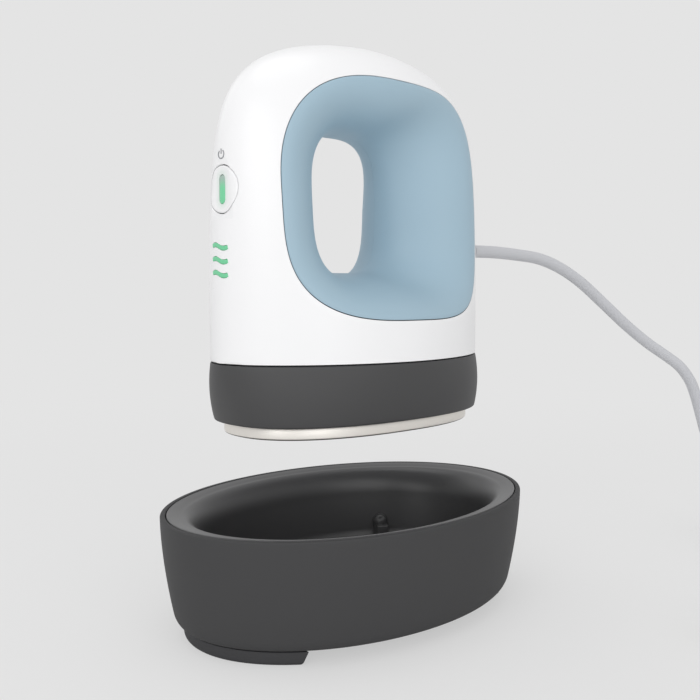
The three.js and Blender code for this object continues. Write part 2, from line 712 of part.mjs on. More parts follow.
function buildSkirt() {
  const outer = skirtSolid(0);
  const inner = skirtSolid(SHELL_WALL);
  const deckInset = SHELL_WALL / 2;
  const deck = slab(
    skirtHalf(DECK_BOTTOM_Z, SHELL_HALF_LENGTH) - deckInset,
    skirtHalf(DECK_BOTTOM_Z, SHELL_HALF_WIDTH) - deckInset,
    2.1,
    DECK_BOTTOM_Z,
    DECK_TOP_Z,
  );
  const tongueOuter = SHELL_WALL + SKIRT_TONGUE_CLEARANCE;
  const tongueInner = tongueOuter + SKIRT_TONGUE_WALL;
  const ring = (inset, z0, z1) => {
    return slab(SHELL_HALF_LENGTH - inset, SHELL_HALF_WIDTH - inset, SHELL_FULLNESS, z0, z1);
  };
  const rootTop = SKIRT_TOP_Z - GAP;
  const rootBottom = SKIRT_TOP_Z - SKIRT_TONGUE_ROOT;
  const root = ring(SHELL_WALL / 2, rootBottom, rootTop);
  const tongue = ring(tongueOuter, rootTop - 1, SKIRT_TOP_Z + SKIRT_TONGUE_HEIGHT);
  const inside = ring(tongueInner, rootBottom - 1, SKIRT_TOP_Z + SKIRT_TONGUE_HEIGHT + 1);
  let skirt = outer.subtract(inner).add(deck).add(root.add(tongue).subtract(inside));
  for (const [x, y] of corners(SKIRT_BOSS_X, SKIRT_BOSS_Y)) {
    const boss = post(x, y, DECK_BOTTOM_Z + 0.5, LUG_BOTTOM_Z - GAP, SKIRT_BOSS_RADIUS, BOSS_STEPS);
    const pilot = post(x, y, DECK_TOP_Z + 1, LUG_BOTTOM_Z, SCREW_RADIUS + GAP / 2, SCREW_STEPS);
    skirt = skirt.add(solid(boss)).subtract(solid(pilot));
  }
  for (const [x, y] of corners(PLATE_BOSS_X, PLATE_BOSS_Y)) {
    const hole = post(x, y, DECK_BOTTOM_Z - 1, DECK_TOP_Z + 1, SCREW_RADIUS + SCREW_CLEARANCE, SCREW_STEPS);
    skirt = skirt.subtract(solid(hole));
  }
  skirt = skirt.subtract(solid(wireSlot(DECK_BOTTOM_Z - 1, DECK_TOP_Z + 1)));
  add(press, "skirt", shape(skirt), "charcoal");
}

function wireSlot(z0, z1) {
  const half = ELEMENT_LEG_Y + WIRE_RADIUS + GAP;
  const [x0, x1] = [WIRE_SLOT_X - WIRE_SLOT_HALF_LENGTH, WIRE_SLOT_X + WIRE_SLOT_HALF_LENGTH];
  return box(x0, x1, -half, half, z0, z1);
}

// Heat plate and the heater parts between it and the deck
function buildHeater() {
  const insulationTop = DECK_BOTTOM_Z - GAP;
  const rings = [
    oval(PLATE_HALF_LENGTH - PLATE_EDGE_ROUND, PLATE_HALF_WIDTH - PLATE_EDGE_ROUND, 0, PLATE_FULLNESS),
    oval(PLATE_HALF_LENGTH, PLATE_HALF_WIDTH, PLATE_EDGE_ROUND, PLATE_FULLNESS),
    oval(PLATE_HALF_LENGTH, PLATE_HALF_WIDTH, PLATE_THICKNESS, PLATE_FULLNESS),
  ];
  let plate = solid(stack(rings));
  for (const [x, y] of corners(PLATE_BOSS_X, PLATE_BOSS_Y)) {
    plate = plate.add(solid(post(x, y, PLATE_THICKNESS - 1, insulationTop, PLATE_BOSS_RADIUS, BOSS_STEPS)));
    plate = plate.subtract(
      solid(post(x, y, PLATE_THICKNESS + 1, insulationTop + 1, SCREW_RADIUS + GAP / 2, SCREW_STEPS)),
    );
  }
  add(press, "heat_plate", shape(plate), "steel");

  const legZ = PLATE_THICKNESS + GAP + ELEMENT_RADIUS;
  const bend = Array.from({ length: 7 }, (_, i) => {
    const angle = Math.PI / 2 + (Math.PI * i) / 6;
    const x = ELEMENT_NOSE_X + ELEMENT_LEG_Y * Math.cos(angle);
    return [x, ELEMENT_LEG_Y * Math.sin(angle), legZ];
  });
  const element = [[ELEMENT_END_X, ELEMENT_LEG_Y, legZ], [0, ELEMENT_LEG_Y, legZ], ...bend];
  element.push([0, -ELEMENT_LEG_Y, legZ], [ELEMENT_END_X, -ELEMENT_LEG_Y, legZ]);
  add(press, "heating_element", tube(element, ELEMENT_RADIUS, 22, 8), "copper");

  const clampZ = legZ + ELEMENT_RADIUS + GAP;
  const clampHalf = ELEMENT_LEG_Y + ELEMENT_RADIUS;
  const reach = CLAMP_PLATE_HALF_LENGTH;
  const clamp = box(-reach, reach, -clampHalf, clampHalf, clampZ, clampZ + CLAMP_PLATE_THICKNESS);
  add(press, "element_clamp_plate", clamp, "steel");

  const padBottom = insulationTop - INSULATION_THICKNESS;
  const padHalf = [PLATE_HALF_LENGTH, PLATE_HALF_WIDTH].map((half) => half - INSULATION_INSET);
  let pad = slab(...padHalf, PLATE_FULLNESS, padBottom, insulationTop);
  for (const [x, y] of corners(PLATE_BOSS_X, PLATE_BOSS_Y)) {
    const radius = PLATE_BOSS_RADIUS + SCREW_CLEARANCE;
    pad = pad.subtract(solid(post(x, y, padBottom - 1, insulationTop + 1, radius, BOSS_STEPS)));
  }
  pad = pad.subtract(solid(wireSlot(padBottom - 1, insulationTop + 1)));
  add(press, "insulation_pad", shape(pad), "mica");

  const seat = PLATE_THICKNESS + GAP;
  const fuseY = -(ELEMENT_LEG_Y + ELEMENT_RADIUS + 2 * FUSE_RADIUS);
  const rod = (middle, length, y, radius) =>
    rodX(middle - length / 2, middle + length / 2, y, seat + radius, radius, BOSS_STEPS);
  add(press, "thermal_fuse", rod(FUSE_X, FUSE_LENGTH, fuseY, FUSE_RADIUS), "brass");
  add(press, "temperature_sensor", rod(SENSOR_X, SENSOR_LENGTH, 0, SENSOR_RADIUS), "black");

  corners(PLATE_BOSS_X, PLATE_BOSS_Y).forEach(([x, y], i) => {
    const body = screw(new THREE.Vector3(0, 0, 1), DECK_TOP_Z + GAP - PLATE_THICKNESS - 2.5);
    add(press, `plate_screw_${i + 1}`, body.translate(x, y, DECK_TOP_Z + GAP), "steel");
  });
  corners(SKIRT_BOSS_X, SKIRT_BOSS_Y).forEach(([x, y], i) => {
    const seatZ = LUG_BOTTOM_Z + LUG_THICKNESS + GAP;
    const body = screw(new THREE.Vector3(0, 0, 1), seatZ - DECK_TOP_Z - 2);
    add(press, `shell_screw_${i + 1}`, body.translate(x, y, seatZ), "steel");
  });
}

// Button, light bar, switch and wave lights
function buildNose() {
  const flangeBack = BUTTON_BACK_X;
  const capFront = -SHELL_HALF_LENGTH - 5;
  const flangeFront = flangeBack - BUTTON_FLANGE_THICKNESS;
  let button = solid(rodX(capFront, flangeBack, 0, BUTTON_Z, BUTTON_RADIUS, 32)).intersect(bodyOuter);
  button = button.add(solid(rodX(flangeFront, flangeBack, 0, BUTTON_Z, BUTTON_FLANGE_RADIUS, 32)));
  const stemEnd = SWITCH_FRONT_X - PLUNGER_PROUD - GAP;
  button = button.add(solid(rodX(flangeFront, stemEnd, 0, BUTTON_Z, BUTTON_STEM_RADIUS, 16)));
  const pocketX = NOSE_FLAT_X + BAR_DEPTH;
  const pocket = prismX(slotOutline(BAR_WIDTH + 2 * GAP, BAR_LENGTH + 2 * GAP, BUTTON_Z), capFront, pocketX);
  add(press, "power_button", shape(button.subtract(solid(pocket))), "white");
  const bar = solid(prismX(slotOutline(BAR_WIDTH, BAR_LENGTH, BUTTON_Z), capFront, pocketX - GAP));
  add(press, "light_bar", shape(bar.intersect(bodyOuter)), "green");

  const half = SWITCH_SIZE / 2;
  const seatX = BOARD_FRONT_X - GAP;
  const casing = solid(box(SWITCH_FRONT_X, seatX, -half, half, BUTTON_Z - half, BUTTON_Z + half));
  const boreEnd = SWITCH_FRONT_X + PLUNGER_LENGTH - PLUNGER_PROUD + BUTTON_TRAVEL + GAP;
  const bore = solid(rodX(SWITCH_FRONT_X - 1, boreEnd, 0, BUTTON_Z, PLUNGER_RADIUS + GAP, 16));
  add(press, "switch_body", shape(casing.subtract(bore)), "black");
  const plungerX = SWITCH_FRONT_X - PLUNGER_PROUD;
  const plunger = rodX(plungerX, plungerX + PLUNGER_LENGTH, 0, BUTTON_Z, PLUNGER_RADIUS);
  add(press, "switch_plunger", plunger, "black");

  const guideTop = SHELL_BOTTOM_Z + WAVE_RISES[0] + GUIDE_MARGIN;
  const guideBottom = SHELL_BOTTOM_Z + WAVE_RISES[WAVE_RISES.length - 1] - GUIDE_MARGIN;
  const guideHalf = WAVE_HALF_WIDTH + GAP;
  const guideFront = -SHELL_HALF_LENGTH + SHELL_WALL + 0.9;
  const guideBack = BOARD_FRONT_X - 2 * GAP - LED_DEPTH;
  let guide = solid(box(guideFront, guideBack, -guideHalf, guideHalf, guideBottom, guideTop));
  for (const rise of WAVE_RISES) {
    const tip = prismX(waveOutline(SHELL_BOTTOM_Z + rise, 0), capFront, guideFront + 1);
    guide = guide.add(solid(tip).intersect(bodyOuter));
  }
  add(press, "wave_light_guide", shape(guide), "green");
}

// Control board
function buildBoard() {
  const halfWidth = BOARD_WIDTH / 2;
  const top = BOARD_BOTTOM_Z + BOARD_HEIGHT;
  let board = solid(box(BOARD_FRONT_X, BOARD_BACK_X, -halfWidth, halfWidth, BOARD_BOTTOM_Z, top));
  const [lowZ, highZ] = standoffHeights();
  const holes = [
    [-STANDOFF_Y, highZ],
    [STANDOFF_Y, highZ],
  ];
  for (const [y, z] of holes) {
    const radius = SCREW_RADIUS + SCREW_CLEARANCE;
    board = board.subtract(solid(rodX(BOARD_FRONT_X - 1, BOARD_BACK_X + 1, y, z, radius, SCREW_STEPS)));
  }
  add(press, "control_board", shape(board), "board");
  holes.forEach(([y, z], i) => {
    const body = screw(new THREE.Vector3(1, 0, 0), BOARD_SCREW_LENGTH);
    add(press, `board_screw_${i + 1}`, body.translate(BOARD_BACK_X + GAP, y, z), "steel");
  });

  const front = BOARD_FRONT_X - GAP;
  const back = BOARD_BACK_X + GAP;
  const middleZ = (lowZ + highZ) / 2;
  add(press, "bar_led", box(front - LED_DEPTH, front, -1.2, 1.2, BUTTON_Z + 4.2, BUTTON_Z + 5.8), "mica");
  WAVE_RISES.forEach((rise, i) => {
    const z = SHELL_BOTTOM_Z + rise;
    add(press, `wave_led_${i + 1}`, box(front - LED_DEPTH, front, -1.2, 1.2, z - 0.8, z + 0.8), "mica");
  });
  add(press, "capacitor", box(back, back + 6, -6.5, 1.5, middleZ + 1, middleZ + 12), "blue");
  add(press, "triac", box(back, back + 3, 3, 7, middleZ + 1, middleZ + 10), "black");
  add(press, "controller_chip", box(back, back + 1.4, -3.5, 3.5, middleZ - 7, middleZ - 1), "black");
}

// Cord entry: strain relief, clamp and the end of the cord inside the shell
function buildCordEntry() {
  const collarX = SHELL_HALF_LENGTH + 2 * GAP;
  const bore = CORD_RADIUS + GAP;
  const profilePoints = [
    [bore, RELIEF_SLEEVE_X],
    [RELIEF_SLEEVE_RADIUS, RELIEF_SLEEVE_X],
    [RELIEF_SLEEVE_RADIUS, RELIEF_FLANGE_X],
    [RELIEF_FLANGE_RADIUS, RELIEF_FLANGE_X],
    [RELIEF_FLANGE_RADIUS, RELIEF_FLANGE_X + RELIEF_FLANGE_THICKNESS],
    [RELIEF_NECK_RADIUS, RELIEF_FLANGE_X + RELIEF_FLANGE_THICKNESS],
    [RELIEF_NECK_RADIUS, collarX],
    [RELIEF_COLLAR_RADIUS, collarX],
    [RELIEF_COLLAR_RADIUS, collarX + RELIEF_COLLAR_THICKNESS],
    [RELIEF_SHOULDER_RADIUS, collarX + RELIEF_COLLAR_THICKNESS],
    [RELIEF_TIP_RADIUS, RELIEF_END_X],
    [bore, RELIEF_END_X],
    [bore, RELIEF_SLEEVE_X],
  ];
  const points = profilePoints.map(([r, x]) => new THREE.Vector2(r, x));
  const relief = new THREE.LatheGeometry(points, ROUND_STEPS).rotateZ(-Math.PI / 2);
  add(press, "cord_strain_relief", relief.translate(0, 0, CORD_RISE), "cordgrey");

  const [x0, x1] = [CLAMP_X, CLAMP_X + CLAMP_LENGTH];
  const bottom = clampSeatZ() + GAP;
  const top = bottom + CLAMP_HEIGHT;
  let clamp = solid(box(x0, x1, -CLAMP_HALF_WIDTH, CLAMP_HALF_WIDTH, bottom, top));
  clamp = clamp.subtract(solid(rodX(x0 - 1, x1 + 1, 0, CORD_RISE, bore, 16)));
  clamp = clamp.subtract(solid(box(x0 - 1, x1 + 1, -bore, bore, bottom - 1, CORD_RISE)));
  for (const [x, y] of clampScrews()) {
    clamp = clamp.subtract(solid(post(x, y, bottom - 1, top + 1, SCREW_RADIUS + GAP, SCREW_STEPS)));
  }
  add(press, "cord_clamp", shape(clamp), "black");
  clampScrews().forEach(([x, y], i) => {
    const body = screw(new THREE.Vector3(0, 0, 1), CLAMP_HEIGHT + 2.5);
    add(press, `clamp_screw_${i + 1}`, body.translate(x, y, top + GAP), "steel");
  });
  const innerEnd = rodX(CLAMP_X - 1, RELIEF_END_X - GAP, 0, CORD_RISE, CORD_RADIUS, BOSS_STEPS);
  add(press, "cord_inner_end", innerEnd, "cordgrey");
}

// Wires inside the press. Each keeps to a lane of its own across the width.
function buildWires() {
  const boardX = BOARD_BACK_X + GAP;
  const elementZ = PLATE_THICKNESS + GAP + ELEMENT_RADIUS;
  const low = LUG_BOTTOM_Z + 3;
  [1, -1].forEach((side, i) => {
    const y = side * ELEMENT_LEG_Y;
    const heater = [
      [ELEMENT_END_X + GAP, y, elementZ],
      [WIRE_SLOT_X - 1.2, y, elementZ + 0.6],
      [WIRE_SLOT_X, y, elementZ + 4],
      [WIRE_SLOT_X, y, DECK_TOP_Z + 4],
      [WIRE_SLOT_X - 8, y, low],
      [0, y, low + 1],
      [-20, y, low + 2],
      [boardX + 3, y, low + 7],
      [boardX + 3.2, y, low + 12],
      [boardX + 1.8, y, low + 15],
      [boardX, y, low + 15.4],
    ];
    add(press, `heater_wire_${i + 1}`, tube(heater, WIRE_RADIUS, 20, 6), "black");
    const mainsY = side * WIRE_LANE;
    const mains = [
      [CLAMP_X - 1 - GAP, side * 1.2, CORD_RISE],
      [CLAMP_X - 2.2, side * 1.2, CORD_RISE],
      [CLAMP_X - 3.6, side * 1.6, CORD_RISE - 1.6],
      [CLAMP_X - 4.8, mainsY, CORD_RISE - 7],
      [CLAMP_X - 7, mainsY, low + 10],
      [10, mainsY, low + 6],
      [-15, mainsY, low + 7],
      [boardX + 3.4, mainsY, low + 14],
      [boardX + 3.2, mainsY, low + 19],
      [boardX + 1.8, mainsY, low + 22],
      [boardX, mainsY, low + 22.4],
    ];
    add(press, `mains_wire_${i + 1}`, tube(mains, WIRE_RADIUS, 20, 6), "copper");
  });
  const sensorZ = PLATE_THICKNESS + GAP + SENSOR_RADIUS;
  const sensor = [
    [SENSOR_X + SENSOR_LENGTH / 2 + GAP, 0, sensorZ],
    [WIRE_SLOT_X - 2, 0, sensorZ],
    [WIRE_SLOT_X, 0, sensorZ + 4],
    [WIRE_SLOT_X, 0, DECK_TOP_Z + 3],
    [WIRE_SLOT_X - 8, 0, low + 1],
    [0, 0, low + 2],
    [-18, 0, low + 3],
    [boardX + 3, 0, low + 7],
    [boardX + 3.2, 0, low + 11],
    [boardX + 1.8, 0, low + 13.4],
    [boardX, 0, low + 13.8],
  ];
  add(press, "sensor_wire", tube(sensor, WIRE_RADIUS, 20, 6), "white");
}

// Base: shell, liner with its four rest posts, feet and their screws
function baseHalf(z, half) {
  const rise = (z - FOOT_HEIGHT) / BASE_HEIGHT;
  return half - BASE_TAPER * (1 - rise) ** BASE_BELLY;
}

function baseShellRing(z, inset) {
  const corner = Math.max(0, 1 - (z - FOOT_HEIGHT) / BASE_CORNER);
  const tuck = BASE_CORNER * (1 - Math.sqrt(1 - corner * corner)) * BASE_CORNER_SHARE;
  return oval(baseHalf(z, BASE_HALF_LENGTH) - inset - tuck, baseHalf(z, BASE_HALF_WIDTH) - inset - tuck, z);
}

function baseMiddleHeights() {
  return BASE_MIDDLE_RISES.map((rise) => FOOT_HEIGHT + rise);
}

function buildBaseShell() {
  const rises = [0, BASE_CORNER / 4, BASE_CORNER, ...BASE_MIDDLE_RISES, BASE_HEIGHT];
  const heights = rises.map((rise) => FOOT_HEIGHT + rise);
  const outer = solid(stack(heights.map((z) => baseShellRing(z, 0))));
  const floorZ = FOOT_HEIGHT + BASE_WALL;
  const innerRings = [floorZ, ...baseMiddleHeights()].map((z) => baseShellRing(z, BASE_WALL));
  innerRings.push(baseShellRing(RIM_Z, BASE_WALL).map(([x, y, z]) => [x, y, z + 1]));
  let shell = outer.subtract(solid(stack(innerRings)));
  for (const x of [-BASE_SCREW_X, BASE_SCREW_X]) {
    const hole = post(x, 0, FOOT_HEIGHT - 1, floorZ + 1, SCREW_RADIUS + SCREW_CLEARANCE, SCREW_STEPS);
    shell = shell.subtract(solid(hole));
  }
  add(object, "base_shell", shape(shell), "charcoal");
}

// Liner: rings down the outside, then the lip and the cavity wall inside
function linerCavityHalf(z) {
  const depth = (RIM_Z - LIP_DROP - z) / (BASE_HEIGHT - LIP_DROP);
  const taper = CAVITY_TAPER * Math.max(0, depth);
  return [
    BASE_HALF_LENGTH - LIP_WIDTH_END - taper,
    BASE_HALF_WIDTH - LIP_WIDTH_SIDE - taper,
  ];
}

function buildBaseLiner() {
  const outset = BASE_WALL + GAP;
  const bottom = FOOT_HEIGHT + BASE_WALL + GAP;
  const floorTop = bottom + LINER_FLOOR_RISE;
  const rimTop = RIM_Z;
  const outerZ = [bottom, ...baseMiddleHeights(), rimTop];
  const outer = outerZ.map((z) => baseShellRing(z, outset));
  const rimHalf = [BASE_HALF_LENGTH - outset, BASE_HALF_WIDTH - outset];
  const edge = linerCavityHalf(RIM_Z - LIP_DROP);
  const flat = LIP_FLAT_SHARE;
  const shelfZ = rimTop - LIP_DROP * LIP_SHELF_SHARE;
  const lip = [];
  for (let i = 1; i <= LIP_STEPS; i++) {
    const angle = (Math.PI / 2) * (i / LIP_STEPS);
    const across = flat + (1 - flat) * Math.sin(angle);
    const z = shelfZ - LIP_ROUND * (1 - Math.cos(angle));
    const halves = rimHalf.map((half, k) => half + (edge[k] - half) * across);
    lip.push(oval(halves[0], halves[1], z));
  }
  const shoulder = rimHalf.map((half, k) => half + (edge[k] - half) * flat);
  lip.unshift(oval(shoulder[0], shoulder[1], shelfZ));
  const wall = [floorTop + 4, floorTop].map((z) => oval(...linerCavityHalf(z), z));
  const skin = [...outer, ...lip, ...wall];
  let liner = solid(stack(skin));
  const [cavityLength, cavityWidth] = linerCavityHalf(floorTop);
  const under = (z) => linerCavityHalf(z).map((half) => half + LINER_WALL);
  const hollowTop = rimTop - LIP_ROUND - 2;
  const hollowZ = [bottom - 1, baseMiddleHeights()[0], hollowTop];
  const hollowOuter = hollowZ.map((z) => baseShellRing(z, outset + LINER_WALL));
  const hollowInner = [bottom - 2, floorTop, hollowTop + 1].map((z) => oval(...under(z), z));
  const pocket = solid(stack(hollowOuter)).subtract(solid(stack(hollowInner)));
  liner = liner.subtract(pocket);
  const inside = slab(cavityLength + LINER_WALL, cavityWidth + LINER_WALL, 2, bottom, POST_TOP + 1);
  const columnTop = POST_TOP - POST_RADIUS;
  const shoulderTop = DOCKED_PLATE_Z + SKIRT_BOTTOM_Z - GAP;
  const clear = POST_RADIUS + GAP;
  for (const [x, y, angle] of postPlaces()) {
    const column = post(clear, 0, floorTop - 0.5, columnTop, POST_RADIUS, BOSS_STEPS);
    const dome = new THREE.SphereGeometry(POST_RADIUS, BOSS_STEPS, 6);
    dome.rotateX(Math.PI / 2).translate(clear, 0, columnTop);
    const half = POST_WEB / 2;
    const web = box(clear, clear + POST_REACH, -half, half, floorTop - 0.5, columnTop - 1);
    const shoulder = box(-SHOULDER_REACH, clear, -half, half, floorTop - 0.5, shoulderTop);
    for (const piece of [column, dome, web, shoulder]) {
      liner = liner.add(solid(piece.rotateZ(angle).translate(x, y, 0)).intersect(inside));
    }
  }
  for (const x of [-BASE_SCREW_X, BASE_SCREW_X]) {
    const pilot = post(x, 0, bottom - 1, bottom + 1.2, SCREW_RADIUS + GAP / 2, SCREW_STEPS);
    liner = liner.subtract(solid(pilot));
  }
  add(object, "base_liner", shape(liner), "charcoal");
}

// Points on the docked skirt's lower edge, each with the way that faces out from it. A post's
// round top stands beside the skirt there, and its shoulder carries the skirt's edge.
function postPlaces() {
  const [a, b] = [SHELL_HALF_LENGTH - SKIRT_FLARE, SHELL_HALF_WIDTH - SKIRT_FLARE];
  const [c, d] = unit(POST_ANGLE).map((share) => share ** (2 / PLATE_FULLNESS));
  return corners(a * c, b * d).map(([x, y]) => {
    const steep = PLATE_FULLNESS - 1;
    const outX = (Math.sign(x) * Math.abs(x / a) ** steep) / a;
    const outY = (Math.sign(y) * Math.abs(y / b) ** steep) / b;
    return [x, y, Math.atan2(outY, outX)];
  });
}

function buildFeet() {
  const seat = FOOT_HEIGHT - GAP;
  const ring = (inset, z) => {
    const [x, y] = [BASE_HALF_LENGTH, BASE_HALF_WIDTH].map((half) => half - BASE_TAPER - inset);
    return oval(x, y, z);
  };
  const sole = ring(FOOT_INSET + FOOT_TAPER, 0);
  const pad = solid(stack([sole, ring(FOOT_INSET, FOOT_TAPER), ring(FOOT_SEAT_INSET + 1, seat)]));
  const wide = BASE_HALF_LENGTH * 2;
  for (const [name, side] of [
    ["foot_front", -1],
    ["foot_rear", 1],
  ]) {
    const outline = [
      [side * (FOOT_CUT_X + FOOT_CUT_LEAN), -1],
      [side * wide, -1],
      [side * wide, FOOT_HEIGHT + 1],
      [side * (FOOT_CUT_X - FOOT_CUT_LEAN), FOOT_HEIGHT + 1],
    ];
    const keep = prismY(side < 0 ? outline.reverse() : outline, -wide, wide);
    let foot = pad.intersect(solid(keep));
    const x = side * BASE_SCREW_X;
    const hole = post(x, 0, -1, FOOT_HEIGHT, SCREW_RADIUS + SCREW_CLEARANCE, SCREW_STEPS);
    const counterbore = post(x, 0, -1, SCREW_HEAD_HEIGHT + 2 * GAP, SCREW_HEAD_RADIUS + GAP);
    foot = foot.subtract(solid(hole)).subtract(solid(counterbore));
    add(object, name, shape(foot), "charcoal");
    const body = screw(new THREE.Vector3(0, 0, -1), FOOT_HEIGHT - SCREW_HEAD_HEIGHT + BASE_WALL + 0.4);
    const headTop = SCREW_HEAD_HEIGHT + 0.3;
    add(object, side < 0 ? "base_screw_front" : "base_screw_rear", body.translate(x, 0, headTop), "steel");
  }
}

// Cord outside the press. The free stretches keep to points chosen by hand.
const LEAD_ROUTE = [
  [RELIEF_END_X + GAP, 0, PLATE_Z + CORD_RISE],
  [65, -0.2, PLATE_Z + CORD_RISE],
  [76.3, -0.7, 108.3],
  [90.4, -2, 106.9],
  [100.3, -3.8, 103.8],
  [109.8, -6.4, 98.6],
  [119.8, -9.8, 90.8],
  [129.6, -13.8, 82.4],
  [138.3, -18.1, 75.3],
  [145.8, -22.7, 69.6],
  [149.3, -26, 65.9],
  [152.2, -28.7, 60.7],
  [153.8, -30.1, 55.9],
  [156.8, -32.9, 42.2],
  [159.7, -35.7, 28.9],
  [162.6, -38.4, 15.5],
  [166.2, -41.7, 7.5],
  [169.2, -44.5, 4.4],
  [172.7, -47.8, 2.4],
];
const TAIL_ROUTE = [
  [146, -111.6, 15.2],
  [135.5, -110.4, 12.2],
  [125.5, -108.1, 8.4],
];

// Coil of the spare length: it spirals in and out by turns and climbs a layer where it reverses
function coilPath() {
  const layerTurns = COIL_TURNS / COIL_LAYERS;
  const steps = Math.round(COIL_TURNS * COIL_STEPS_PER_TURN);
  const points = Array.from({ length: steps + 1 }, (_, i) => {
    const turn = (COIL_TURNS * i) / steps;
    const layer = Math.min(COIL_LAYERS - 1, Math.floor(turn / layerTurns));
    const within = turn - layer * layerTurns;
    const inward = layer % 2 === 0 ? within : layerTurns - within;
    const radius = COIL_OUTER_RADIUS - COIL_PITCH * inward;
    let level = 0;
    for (let k = 1; k < COIL_LAYERS; k++) {
      level += THREE.MathUtils.smoothstep(turn - k * layerTurns, -0.25, 0.25);
    }
    const [c, s] = unit(COIL_START_ANGLE - 360 * turn);
    return [COIL_CENTRE[0] + radius * c, COIL_CENTRE[1] + radius * s, COIL_Z + COIL_PITCH * level];
  });
  const straight = 2 * CORD_RADIUS;
  const [sx, sy] = unit(COIL_START_ANGLE + 90);
  const [ex, ey] = unit(COIL_START_ANGLE - 360 * COIL_TURNS - 90);
  const [first, last] = [points[0], points[points.length - 1]];
  points.unshift([first[0] + straight * sx, first[1] + straight * sy, first[2]]);
  points.push([last[0] + straight * ex, last[1] + straight * ey, last[2]]);
  return points;
}

function cordTube(points, radius, sides) {
  const at = points.map((p) => new THREE.Vector3(...p));
  const vertical = new THREE.Vector3(0, 0, 1);
  const rings = at.map((p, i) => {
    const before = at[Math.max(i - 1, 0)];
    const after = at[Math.min(i + 1, at.length - 1)];
    const along = after.clone().sub(before).normalize();
    const across = along.clone().cross(vertical).normalize();
    const up = across.clone().cross(along);
    return Array.from({ length: sides }, (_, k) => {
      const angle = (-2 * Math.PI * k) / sides;
      const spoke = p.clone().addScaledVector(across, radius * Math.cos(angle));
      spoke.addScaledVector(up, radius * Math.sin(angle));
      return [spoke.x, spoke.y, spoke.z];
    });
  });
  return stack(rings);
}

// A point a little beyond the end of a run of points, in line with it
function beyond(end, before, distance) {
  const at = new THREE.Vector3(...end);
  const step = at.clone().sub(new THREE.Vector3(...before)).setLength(distance);
  return at.add(step).toArray();
}

function coilGap(points) {
  const at = points.map((p) => new THREE.Vector3(...p));
  const apart = COIL_STEPS_PER_TURN / 4;
  let least = Infinity;
  for (let i = 0; i < at.length; i++) {
    for (let j = i + apart; j < at.length; j++) least = Math.min(least, at[i].distanceTo(at[j]));
  }
  return least - 2 * CORD_RADIUS;
}

function routeLength(points) {
  return new THREE.CatmullRomCurve3(points.map((p) => new THREE.Vector3(...p))).getLength();
}

function buildCord() {
  const coil = coilPath();
  const last = coil.length - 1;
  const lead = [...LEAD_ROUTE, beyond(coil[0], coil[1], CORD_LEAVE), beyond(coil[0], coil[1], GAP)];
  const leaving = [GAP, CORD_LEAVE].map((distance) => beyond(coil[last], coil[last - 1], distance));
  const [px, py] = PLUG_PLACE;
  const [hx, hy] = unit(PLUG_HEADING);
  const before = (distance) => [px - hx * distance, py - hy * distance, PLUG_HEIGHT / 2];
  const arriving = [CORD_LEAVE, GAP].map(before);
  const tail = [...leaving, ...TAIL_ROUTE, ...arriving];
  const wide = 2 * COIL_OUTER_RADIUS;
  const floor = box(-wide, wide, -wide, wide, -wide, 0).translate(...COIL_CENTRE, 0);
  const [inside, outside] = tieReach();
  const half = TIE_WIDTH / 2;
  const channel = tieBox(inside - 1, outside + 1, half + GAP, -1, TIE_THICKNESS + GAP);
  const coilSolid = solid(cordTube(coil, CORD_RADIUS, COIL_SIDES)).subtract(solid(floor)).subtract(channel);
  const leadSolid = solid(tube(lead, CORD_RADIUS, LEAD_STEPS, CORD_SIDES)).subtract(solid(floor));
  add(object, "cord_lead", shape(leadSolid), "cordgrey");
  add(object, "cord_coil", shape(coilSolid), "cordgrey");
  add(object, "cord_tail", tube(tail, CORD_RADIUS, TAIL_STEPS, CORD_SIDES), "cordgrey");
  const total = routeLength(lead) + routeLength(coil) + routeLength(tail) + RELIEF_END_X - CLAMP_X;
  console.log(`cord length ${total.toFixed(0)} mm, coil's least gap ${coilGap(coil).toFixed(2)} mm`);

  const thick = TIE_THICKNESS;
  const top = COIL_Z + COIL_PITCH * (COIL_LAYERS - 1) + CORD_RADIUS + GAP;
  const band = tieBox(inside - thick, outside + thick, half, 0, top + thick);
  const tie = band.subtract(tieBox(inside, outside, TIE_WIDTH, thick, top));
  add(object, "cord_tie", shape(tie), "black");
}

// How far the tie's inside reaches across the turns, measured from the coil's centre
function tieReach() {
  const innermost = COIL_OUTER_RADIUS - COIL_SPREAD - CORD_RADIUS;
  const inside = Math.sqrt(innermost ** 2 - (TIE_WIDTH / 2) ** 2) - GAP;
  return [inside, COIL_OUTER_RADIUS + CORD_RADIUS + GAP];
}

function tieBox(x0, x1, half, z0, z1) {
  const angle = THREE.MathUtils.degToRad(TIE_ANGLE);
  return solid(box(x0, x1, -half, half, z0, z1).rotateZ(angle).translate(...COIL_CENTRE, 0));
}

